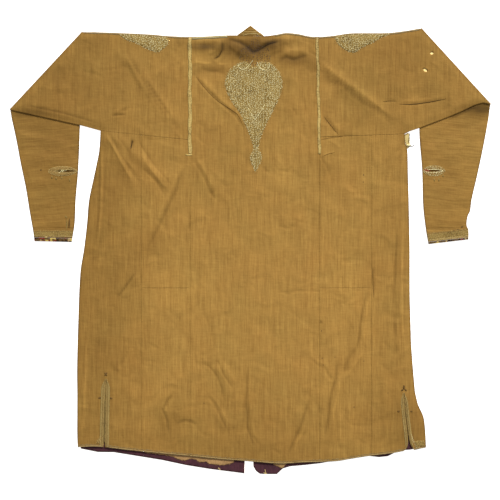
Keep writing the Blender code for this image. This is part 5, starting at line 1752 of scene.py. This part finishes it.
# %% Embroidery of the hem slits
def joined(name, objects, look):
    """Several small meshes of one material as one object."""
    whole = bmesh.new()
    for obj in objects:
        whole.from_mesh(obj.data)
        bpy.data.objects.remove(obj)
    mesh = bpy.data.meshes.new(name)
    whole.to_mesh(mesh)
    whole.free()
    return link(name, mesh, look)


def petals(name, rows, look):
    """Small raised petals: each row is a place, a length, a width and a turn."""
    made = []
    for x, y, length, width, turn_by in rows:
        outline = turned(pointed_oval(length, width, 12), turn_by, x, y)
        made.append(ground_of(name, patch_form(outline, step=2, crown=0.3), look))
    return joined(name, made, look)


LEFT_PETALS = [
    (-407.5, -351, 13, 5, 0.9), (-407.5, -351, 13, 5, 2.2), (-424.5, -418, 9, 7, 0.3), (-393, -419, 9, 6, 2.8),
]
RIGHT_PETALS = [
    (435, -388, 13, 6, 1.57), (430.5, -396, 9, 5, 0.6), (440, -396, 9, 5, 2.5), (420, -456, 7, 6, 0),
    (456, -456, 7, 5, 0),
]
for side, vent, half_width, top_y, rows, seed in (
    ("left", VENT_LEFT, 12.5, -364.0, LEFT_PETALS, 31), ("right", VENT_RIGHT, 10.0, -404.0, RIGHT_PETALS, 32),
):
    foot_y = float(follow(HEM, vent.foot_x))
    guide = [(foot_y, vent.foot_x), (vent.top_y, vent.top_x), (300, vent.crown_x)]
    y = np.linspace(top_y, foot_y + 2, 44)
    middle = follow(guide, y)
    down = np.clip((vent.top_y - y) / (vent.top_y - foot_y), 0, 1)
    gape = (LIP_GAP * down + vent.opening * down**FOOT_FLARE) / 2
    reach = LIP_GAP * down / 2 + half_width * np.sqrt(smooth((top_y - y) / 30 + 0.02))
    pieces = []
    for hand, letter in ((-1, "a"), (1, "b")):
        lip = middle + hand * (gape + 0.5)
        outer = middle + hand * np.maximum(reach, gape + 3)
        outline = np.vstack([np.column_stack([lip, y]), np.column_stack([outer, y])[::-1]])
        ground, face = patch(f"slit_{side}_ground_{letter}", outline.tolist(), SLIT_GROUND, step=2.6, crown=0.3)
        curls = curls_on(face, f"slit_{side}_curls_{letter}", 5.6, 0.5, 0.8, seed + hand, DULL_CURLS)
        pieces += [ground, curls]
        for tone, at, look in (("pale", 0.8, GOLD_CORD), ("dark", 0.5, BROWN_SILK)):
            line = np.column_stack([lerp(lip, outer, at), y])
            pieces.append(cord(f"slit_{side}_{tone}_{letter}", [line], 0.5, look, lift=0.4))
    upper = np.column_stack([middle, y])[4:15]
    left_lip = np.column_stack([middle - gape - 0.8, y])[14:-3 if side == "left" else 20]
    dots = row(f"slit_{side}_dots", [upper], STITCH, 4.6, 0.9, 1.2, DARK_THREAD, turn=3.1, lift=0.7)
    closing = row(f"slit_{side}_closing", [left_lip], BAR, 1.7, 0.95, 1.2, SLIT_GROUND, turn=0.3, lift=0.5)
    buds = petals(f"slit_{side}_petals", rows, BROWN_SILK)
    keep(f"back_outer_gore_{side}", *pieces, dots, closing, buds)

foot_outline = turned(pointed_oval(27, 10, 16), 0.92, -425, -536)
foot_curl, face = patch("slit_left_foot", foot_outline, DULL_GROUND, step=2.4)
foot_curls = curls_on(face, "slit_left_foot_curls", 4.4, 0.6, 0.9, 35, GOLD_CORD)
corner_outline = [(465, -541), (478, -538), (492, -540), (493, -554), (480, -555.5), (470, -558)]
corner, face = patch("slit_right_corner", corner_outline, GROUND, step=2.6)
corner_curls = curls_on(face, "slit_right_corner_curls", 5.2, 0.6, 0.9, 36, GOLD_CORD)
flap_line = [(456, -522), (460, -536), (466, -550), (470, -558)]
flap = row("slit_right_flap", [flap_line], CURL, 4.6, 0.5, 0.8, GOLD_CURLS, turn=ANY_WAY)
keep("back_outer_gore_left", foot_curl, foot_curls)
keep("back_outer_gore_right", corner, corner_curls, flap)

# %% [markdown]
# ## Sleeve slits and cuffs
# Each sleeve slit sits in an almond of faded gold work with small drops below it. Each cuff is a band of
# the same work, with a toothed upper edge and a paler cord along its foot.

# %% Sleeve slit embroidery
Almond = namedtuple("Almond", "x y length width thread drops")
ALMONDS = {
    "left": Almond(-530, 223, 81, 26, GOLD_CORD, [(-560, 205), (-548, 202), (-532, 204), (-510, 198)]),
    "right": Almond(520, 224.3, 61, 30, GOLD_CURLS, [(521, 198), (534, 198), (546, 210)]),
}
SLIT_LEVEL = 223
for side, almond in ALMONDS.items():
    hole = HOLES[0] if side == "left" else HOLES[1]
    whole = turned(pointed_oval(almond.length, almond.width, 40), 0, almond.x, almond.y)
    ring = turned(pointed_oval(hole.length + 3, hole.width + 3, 30), hole.turn, hole.x, hole.y)
    within = np.minimum if side == "left" else np.maximum
    edge_x = float(follow(SLEEVES[side].forearm_inner, SLIT_LEVEL)) + 1.5 * SLEEVES[side].side
    pieces = []
    for part, up in (("upper", 1), ("lower", -1)):
        outer = sorted((p for p in whole if (p[1] - almond.y) * up >= -0.01), key=lambda p: p[0])
        inner = sorted((p for p in ring if (p[1] - hole.y) * up >= -0.01), key=lambda p: -p[0])
        outline = [(within(x, edge_x), y) for x, y in outer + inner]
        distinct = [p for k, p in enumerate(outline) if math.dist(p, outline[k - 1]) > 0.4]
        ground, face = patch(f"sleeve_slit_{side}_{part}", distinct, DULL_GROUND, step=2.4, crown=0.3)
        pieces += [ground, curls_on(face, f"sleeve_slit_{side}_{part}_curls", 4.4, 0.55, 0.85, 41, almond.thread)]
    rim_line = np.column_stack([within(whole[:, 0], edge_x), whole[:, 1]])
    rim = cord(f"sleeve_slit_{side}_rim", [np.vstack([rim_line, rim_line[:1]])], 0.55, GOLD_CORD)
    lip = cord(f"sleeve_slit_{side}_lip", [np.vstack([ring, ring[:1]])], 0.6, almond.thread, lift=0.5)
    drops = petals(f"sleeve_slit_{side}_drops", [(x, y, 9, 4, math.pi / 2) for x, y in almond.drops], GROUND)
    keep(f"sleeve_{side}", *pieces, rim, lip, drops)
zigzag = cord("sleeve_slit_left_zigzag", [
    [(-541, 217), (-536, 219.5), (-532, 226.5), (-529.5, 220.5), (-526, 226.5), (-523, 222), (-519, 226)],
], 0.8, GOLD_CURLS, lift=0.6)
keep("sleeve_left", zigzag)

# %% Lining seen through the openings
SCRAP_THIN = 0.3


def tucked_scrap(name, hole, first, last, look, level):
    """A scrap of lining pressed against the underside of the cloth, across part of an opening."""
    ring = turned(pointed_oval(1.5 * hole.length, 2.2 * hole.width, 16), hole.turn, hole.x, hole.y)
    below = float(laid(ring).min()) - WALL - 0.15
    outline = [(hole.x + first, hole.y - hole.width), (hole.x + last, hole.y - hole.width),
               (hole.x + last, hole.y + hole.width), (hole.x + first, hole.y + hole.width)]
    made = outline_wall(
        name, outline, 2.0, look, lambda x, y, edge: (below - SCRAP_THIN + 0 * x, below + 0 * x)
    )
    shade(made, level, marked=False)
    return made


lip_outline = [(491.5, 221), (500, 220.5), (510, 222), (510, 226), (500, 228), (491.5, 227.5)]
turned_out = ground_of("slit_lining", patch_form(lip_outline, step=2.0, lift=0.6, crown=0.3), MADDER_CLOTH)
shade(turned_out, 1.1, marked=False)
scraps = [
    turned_out,
    # Level 1.6 is painted light: it keeps the cream scraps bright in the shade inside the holes.
    tucked_scrap("hole_lining_upper", HOLES[2], -8, 8, CREAM_CLOTH, 1.6),
    tucked_scrap("hole_lining_lower", HOLES[3], -10, 10, CREAM_CLOTH, 1.6),
]
keep("sleeve_right", *scraps, slot="cream_lining")

# %% Cuff embroidery
CUFF_BANDS = {"left": (54.5, 53.0), "right": (46.0, 58.5)}
for side, sleeve in SLEEVES.items():
    share = np.linspace(0, 1, 40)[:, None]
    spark = DULL_CURLS if side == "left" else GOLD_CORD
    lines = []
    for inner_y, outer_y in (CUFF_BANDS[side], (sleeve.cuff_foot[0] + 1.2, sleeve.cuff_foot[1] + 1.2)):
        inner = np.array([float(follow(sleeve.forearm_inner, inner_y)) + sleeve.side * 1.6, inner_y])
        outer = np.array([float(follow(sleeve.forearm_outer, outer_y)) - sleeve.side * 1.6, outer_y])
        lines.append(lerp(inner, outer, share))
    band_foot = lerp(lines[0], lines[1], 0.82)
    outline = np.vstack([lines[0], band_foot[::-1]]).tolist()
    ground, face = patch(f"cuff_{side}_ground", outline, GROUND, step=2.8, crown=0.3)
    curls = curls_on(face, f"cuff_{side}_curls", 5.2 if side == "left" else 4.5, 0.55, 0.9, 51, GOLD_CORD)
    feet = [band_foot, lerp(lines[0], lines[1], 0.96)] if side == "right" else [band_foot]
    foot = cord(f"cuff_{side}_foot_cord", feet, 0.9, GOLD_CORD, lift=0.5)
    mid = cord(f"cuff_{side}_mid_cord", [lerp(lines[0], lines[1], 0.06)], 0.5, BROWN_SILK, lift=0.4)
    speck_lines = [lerp(lines[0], lines[1], at) for at in (0.25, 0.55, 0.72)]
    specks = row(f"cuff_{side}_specks", speck_lines, CURL, 6.2, 0.4, 0.8, spark, turn=ANY_WAY)
    way = lines[0] if sleeve.side > 0 else lines[0][::-1]
    teeth = row(f"cuff_{side}_teeth", [way + (0, 0.4)], TOOTH, 4.6, 0.8, 1.2, DULL_CURLS)
    keep(f"sleeve_{side}", ground, curls, foot, mid, specks, teeth)
leaf = petals("cuff_left_leaf", [(-518, 72, 30, 4, 1.5), (-520, 94, 9, 4, 2.4)], GROUND)
vein = petals("cuff_left_vein", [(-511, 76, 30, 5, 1.5)], BROWN_SILK)
knot = petals("cuff_left_knot", [(-577, 36, 9, 6, 0)], GOLD_CORD)
berries = petals("cuff_right_berries", [(576, 55, 5, 4, 0), (588.5, 58, 5, 4, 0), (600, 66, 7, 4, 0.5)], BROWN_SILK)
keep("sleeve_left", leaf, vein, knot)
keep("sleeve_right", berries)

# %% [markdown]
# ## Tapes and braid
# A narrow woven gold tape covers each armhole seam, and a thin dull braid edges the hem, with a row of tiny
# toothed stitches above it. A tape is a thin strip laid along its path, with a corded edge.

# %% Strips of tape
def strip(name, middle, half_width, look, wall_thickness=0.6, lift=0.15, across_cells=4):
    """A thin strip of tape along a plan line, laid on the cloth."""
    middle = np.asarray(middle, float)
    way = np.gradient(middle, axis=0)
    way /= np.linalg.norm(way, axis=1, keepdims=True)
    side_way = np.column_stack([-way[:, 1], way[:, 0]])
    share = np.linspace(-1, 1, across_cells + 1)
    wide = np.broadcast_to(np.asarray(half_width, float), (len(middle),))
    plan = middle[:, None, :] + side_way[:, None, :] * (share[None, :] * wide[:, None])[..., None]
    flat = plan.reshape(-1, 2)
    low = laid(flat).reshape(plan.shape[:2])
    low = np.maximum(low, (low.max(1, keepdims=True) - 1.2)).ravel() + lift
    crown = 1 - 0.5 * np.abs(np.tile(share, len(middle))) ** 3
    run = np.concatenate([[0], np.cumsum(np.linalg.norm(np.diff(middle, axis=0), axis=1))])
    cut = np.column_stack([np.tile(share, len(middle)) * np.repeat(wide, len(share)), np.repeat(run, len(share))])
    index = np.arange(len(flat)).reshape(plan.shape[:2])
    top = np.column_stack([flat, low + wall_thickness * crown])
    made = wall(f"woven_{name}", top, np.column_stack([flat, low]), grid_cells(index), cut, look)
    cuts[name] = (2 * float(wide.mean()), float(run[-1]))
    return made, plan


tapes = {}
for side, sleeve, half_width in (("left", LEFT, 5.0), ("right", RIGHT, 3.8)):
    y = np.linspace(float(follow(SHOULDER, sleeve.armhole[0])) - 2, TAPE_END, 110)
    x = np.full(y.shape, sleeve.armhole[0]) if side == "left" else loom_right(y)
    x = x + 0.8 * np.sin(y / 19) + 0.5 * np.sin(y / 7.3)
    worn = half_width * (1 + 0.1 * np.sin(y / 11) + 0.08 * np.sin(y / 4.1))
    tape, plan = strip(f"tape_{side}", np.column_stack([x, y]), worn, GOLD_TAPE)
    edges = cord(f"tape_{side}_edges", [plan[:, 0], plan[:, -1]], 0.45, GROUND, lift=0.5)
    ribs = row(f"tape_{side}_ribs", [plan[:, 1], plan[:, 3]], STITCH, 3.4, 0.7, 1.2, GOLD_CORD, turn=2.2, lift=0.62)
    # The tapes and their stitches take the cloth's dirt and painted shade.
    take_dirt_and_shade(tape, edges, ribs)
    tapes[f"tape_{side}"] = tape
    keep(f"tape_{side}", edges, ribs, slot="gold_tape")
hook, plan = strip("tape_left_end", [(-164, 269.5), (-172, 268.5), (-182, 269.5)], 2.2, GOLD_TAPE)
keep("tape_left", hook, slot="gold_tape")

# %% Hem braid and its teeth
def hem_line(first, last, up):
    x = np.linspace(first, last, max(3, round(abs(last - first) / 4)))
    return np.column_stack([x, follow(HEM, x) + up])


braid_first, braid_last = VENT_LEFT.foot_x + 6, VENT_RIGHT.foot_x - VENT_RIGHT.opening / 2 - 4
CORNERS = [(-486, VENT_LEFT.foot_x - 4), (VENT_RIGHT.foot_x + 15, 493)]
braid, plan = strip("hem_braid", hem_line(braid_first, braid_last, 1.8), 1.5, HEM_SILK, across_cells=2)
tapes["hem_braid"] = braid
edge_lines = [hem_line(braid_first, braid_last, 4.4)] + [hem_line(*corner, 4.4) for corner in CORNERS]
teeth = row("hem_teeth", edge_lines, TOOTH, 3.4, 0.8, 1.5, EDGE_SILK)
edge = cord("hem_edge_cord", [hem_line(braid_first, braid_last, 2.2)], 0.4, HEM_SILK, lift=0.7)
corner_left, corner_right = (
    strip(f"hem_braid_corner_{side}", hem_line(*corner, 1.8), 1.5, HEM_SILK, across_cells=2)[0]
    for side, corner in zip(("left", "right"), CORNERS)
)
keep("hem_braid", teeth, edge, corner_left, corner_right, slot="gold_tape")

# %% Edging along the shoulders
EDGINGS = [
    ("sleeve_left", "shoulder_edging_left", -468, -173, 2.2, EDGE_SILK),
    ("back_centre", "neck_edging_left", -165, -64, 3.4, NECK_SILK),
    ("back_centre", "neck_edging_right", 72, 184, 2.2, EDGE_SILK),
    ("sleeve_right", "shoulder_edging_right", 194, 480, 2.2, EDGE_SILK),
]
for group, name, first, last, half_width, look in EDGINGS:
    x = np.linspace(first, last, round((last - first) / 4))
    along = np.column_stack([x, follow(SHOULDER, x) - half_width - 0.5])
    edging, _ = strip(name, along, half_width * (1 + 0.2 * np.sin(x / 9)), look, 0.35, 0.05, 2)
    keep(group, edging, slot="neck_embroidery")

# %% Cloth pressed over the cuff seams
for side, sleeve in SLEEVES.items():
    ends = sorted(float(follow(line, CUFF_TOP)) for line in (sleeve.forearm_inner, sleeve.forearm_outer))
    x = np.linspace(ends[0] + 0.6, ends[1] - 0.6, 30)
    along = np.column_stack([x, np.full(30, CUFF_TOP - SEAM / 2)])
    cuff_seam, _ = strip(f"cuff_seam_{side}", along, 1.5, ROBE_CLOTH, 0.3, 0.02, 3)
    shade(cuff_seam)
    keep(f"sleeve_{side}", cuff_seam, slot="robe_cloth")

# %% [markdown]
# ## Pressed folds
# A few creases are so sharp that the cloth has folded over itself. Each is a narrow roll of the same cloth,
# dark because it lies in its own shadow, and it thins out towards both ends.

# %% Narrow rolls of cloth
PressedFold = namedtuple("PressedFold", "half_width level points")
PRESSED_FOLDS = {
    "sleeve_right": [
        PressedFold(1.5, 0.42, [(423, 412), (456, 411.5), (501, 417), (554, 427)]),
        PressedFold(0.9, 0.7, [(376, 420), (396, 421.5), (414, 421)]),
    ],
    "back_centre": [
        PressedFold(1.2, 0.72, [(-152, 490), (-130, 461), (-91, 422), (-40, 388), (-24, 362), (-17, 342)]),
        PressedFold(1.2, 0.75, [(-100, 542), (-88, 549), (-79, 566)]),
        PressedFold(1.2, 0.8, [(28, 566), (51, 581), (74, 588)]),
    ],
    "back_inner_gore_right_upper": [
        PressedFold(1.0, 0.8, [(208, 379), (229, 352), (250, 327)]),
        PressedFold(0.8, 0.85, [(198, 311), (225, 317), (262, 321)]),
        PressedFold(0.9, 0.75, [(206, 265), (222, 272), (240, 276)]),
    ],
    "back_outer_gore_right": [PressedFold(0.9, 0.8, [(347, -50), (348, -91), (350, -134)])],
    "back_outer_gore_left": [PressedFold(1.0, 0.5, [(-332, 311), (-334, 300), (-337, 285)])],
}
for group, folds in PRESSED_FOLDS.items():
    rolls = []
    for number, fold in enumerate(folds):
        line = even_points(fold.points, 3.0)
        share = np.linspace(0, 1, len(line))
        thinning = 0.25 + 0.75 * smooth(4 * np.minimum(share, 1 - share))
        roll, _ = strip(f"fold_{group}_{number}", line, fold.half_width * thinning, ROBE_CLOTH, 0.5, 0.05, 2)
        shade(roll, fold.level)
        rolls.append(roll)
    keep(group, joined(f"pressed_folds_{group}", rolls, ROBE_CLOTH), slot="robe_cloth")
print(sum(len(folds) for folds in PRESSED_FOLDS.values()), "pressed folds")

# %% [markdown]
# ## The neck point
# A small pointed tab stands above the neck. It is the robe's cloth, with rows of couched cord near its
# base and along both edges.

# %% Neck point
NECK_LEFT, NECK_MIDDLE, NECK_RIGHT, NECK_PEAK = -36.0, 6.0, 40.0, (1.0, 635.0)
neck_outline = [(x, float(follow(SHOULDER, x)) + SEAM) for x in (NECK_LEFT, NECK_MIDDLE, NECK_RIGHT)] + [NECK_PEAK]


def neck_heights(x, y, edge):
    swell = 0.35 * np.sin(x / 6.5) * smooth(edge / 6)
    return 0.3 * rolled(edge), TUBE - 0.6 * rolled(edge) + swell


neck = outline_wall("neck_point", neck_outline, 2.2, ROBE_CLOTH, neck_heights)
shade(neck, 0.9, marked=False)
surfaces.append(surface(neck))


def neck_row(up):
    """A row parallel to the tab's base, between its two slanting edges."""
    base = follow(SHOULDER, NECK_MIDDLE) + SEAM
    share = (up + 1.0) / (NECK_PEAK[1] - base)
    x = np.linspace(lerp(NECK_LEFT, NECK_PEAK[0], share) + 2, lerp(NECK_RIGHT, NECK_PEAK[0], share) - 2, 16)
    return np.column_stack([x, base + up + 0.0 * x])


neck_rows = cord("neck_rows", [neck_row(5.0), neck_row(11.5)], 0.6, GOLD_CORD, lift=0.4)
neck_foot = even_points([(-20, 607.5), (-2, 611), (14, 612.5), (22, 609), (28, 605.5)], 3)
neck_base = cord("neck_base", [neck_foot], 0.8, GOLD_CORD, lift=0.6)
neck_rows_dull = cord("neck_rows_dull", [neck_row(8.0), neck_row(16.0)], 0.6, GROUND, lift=0.4)
neck_edges = cord("neck_edges", [
    [(NECK_LEFT + 3, 609.5), (NECK_PEAK[0] - 0.5, 631.5), (NECK_PEAK[0] + 0.5, 631.5), (NECK_RIGHT - 4, 609)],
], 0.6, GROUND, lift=0.6)
keep("neck_point", neck_rows, neck_base, neck_rows_dull, neck_edges, slot="neck_embroidery")

# %% [markdown]
# ## Hand stitches and small damage
# Running stitches hold the seams and the hem. Small nibbles, drawn dark as painted shade in their holes, loose
# threads and frayed edges are the last marks of wear.

# %% Seam stitches
SEW = woven_cloth("silk sewing thread", "#A5834A", "#7E6233", 1.6, 0.05)
seam_lines = []
for x in (LOOM_LEFT - 2.6, LOOM_RIGHT + 2.6, GORE_LEFT - 2.6, GORE_RIGHT + 2.6):
    y = np.linspace(250 if abs(x) < 250 else 300, float(follow(HEM, x)) + 14, 220)
    seam_lines.append(np.column_stack([np.full(y.shape, x), y]))
stitches = row("seam_stitches", seam_lines, STITCH, 6.0, 0.55, 0.8, SEW)
shade(stitches, 0.95, marked=False)
keep("back_centre", stitches, slot="robe_cloth")

# %% Nibbles, loose threads and fraying
NIBBLES = [
    (321.2, 212, 3.2), (320, 192, 2.6), (202, -229, 2.6), (20, 294, 3.6), (204, -306, 2.4), (207, -325, 2.4),
    (294, -444, 2.8), (-130, -433, 2.4), (390, -404, 2.4), (240, -303, 2.2), (322, -314, 2.4),
    (-591, 226, 3.6),
]
NIBBLE_SIDES = 8
nibble_points, nibble_faces = [], []
# Each nibble is a small hole, drawn as a flat dark disc on the cloth: its darkness is painted shade in the hole.
for x, y, size in NIBBLES:
    ring = turned(pointed_oval(size, size, NIBBLE_SIDES), 0.4 * x, x, y)
    first = len(nibble_points)
    nibble_points += np.column_stack([ring, laid(ring) + 0.25]).tolist()
    nibble_faces.append(list(range(first, first + NIBBLE_SIDES)))
nibble_mesh = bpy.data.meshes.new("moth_nibbles")
nibble_mesh.from_pydata((np.array(nibble_points) * MM).tolist(), [], nibble_faces)
nibbles = link("moth_nibbles", nibble_mesh, DARK_THREAD)
lining_rim = ragged(torn, 2.0, 0.3)
frayed = row("lining_fibres", [lining_rim], FIBRE, 1.6, 0.7, 1.5, CREAM_CLOTH, turn=ANY_WAY, lift=0.25)
shade(frayed, 1.0, marked=False)
tag = cord("underarm_lining_tag", [even_points([(443, 297), (449, 296), (456, 297)], 1.5)], 1.6, GOLD_CURLS, lift=1.6)
tag_thread = cord("underarm_thread_tag", [
    even_points([(446, 289), (452, 293), (461, 294), (465, 300)], 1.5),
    even_points([(452, 330), (450, 315), (449, 304)], 1.5),
], 1.0, DARK_THREAD, lift=1.0)
scrap_rim = even_points(SCRAP_EDGE, 2.0) + (0, 1.0)
scrap_fibres = row("scrap_fibres", [scrap_rim], FIBRE, 3.0, 0.6, 1.3, TAN_CLOTH, turn=ANY_WAY, lift=0.1)
shade(scrap_fibres, 1.0, marked=False)
loose = cord("loose_threads", [
    even_points([(-90, -616), (-86, -619), (-84, -623)], 1.2),
    even_points([(42, -621), (43.5, -626), (43, -631)], 1.2), even_points([(39, -630), (43, -632), (48, -631)], 1.2),
], 0.8, CREAM_CLOTH, lift=0.4)
shade(loose, 1.2, marked=False)
keep("back_centre", nibbles, slot="robe_cloth")
keep("underarm_lining", frayed, tag, tag_thread, slot="cream_lining")
keep("hem_scrap", scrap_fibres, loose, slot="tan_inner_cloth")
for stitch in (CURL, BAR, STITCH, TOOTH, FIBRE):
    bpy.data.objects.remove(stitch)

# %% [markdown]
# ## What stands for what
# Every cloth piece replaces its solid and rides on the one rigid body, with the trim it carries.


def declare(obj, nodes, group=None):
    """One cloth piece and its trim ride on the root body, and the solids it stands for are hidden."""
    extras = trims.get(group, [])
    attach(obj, "root")
    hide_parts(*nodes)
    for extra in extras:
        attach(extra, "root")


for node in ("back_centre", "back_inner_gore_left_upper", "back_inner_gore_left_lower",
             "back_inner_gore_right_upper", "back_inner_gore_right_lower",
             "back_outer_gore_left", "back_outer_gore_right"):
    declare(cloths[node], [node], group=node)
for side in ("left", "right"):
    wide, length, area = cuts[f"sleeve_{side}"]
    declare(cloths[f"sleeve_{side}"], [f"sleeve_{side}_inner", f"sleeve_{side}_outer"],
            f"sleeve_{side}")
    declare(cuff_pieces[f"cuff_{side}"], [f"cuff_{side}"])
    wide, tall = cuts[f"cuff_edging_{side}"]
    declare(cuff_pieces[f"cuff_edging_{side}"], [f"cuff_edging_{side}"])
    for pieces, name, slot_name, below in (
        (front_pieces, f"front_{side}", "robe_cloth", "floor"),
        (hem_pieces, f"hem_facing_{side}", "maroon_facing", f"cloth_front_{side}"),
    ):
        declare(pieces[name], [name])
for name, tape in tapes.items():
    wide, length = cuts[name]
    declare(tape, [name],
            name)
for obj, name, slot_name, below in (
    (hem_pieces["hem_scrap"], "hem_scrap", "tan_inner_cloth", "cloth_hem_facing_left"),
    (hem_pieces["hem_tongue"], "hem_tongue", "tan_inner_cloth", "cloth_hem_facing_right"),
    (hem_pieces["underarm_lining"], "underarm_lining", "cream_lining", "floor"),
    (neck, "neck_point", "neck_embroidery", "floor"),
):
    declare(obj, [name], name)

# %% Count the meshes and triangles
meshes = [obj.data for obj in bpy.context.scene.objects if obj.type == "MESH"]
print(len(meshes), "meshes,", sum(len(face.vertices) - 2 for mesh in meshes for face in mesh.polygons), "triangles")
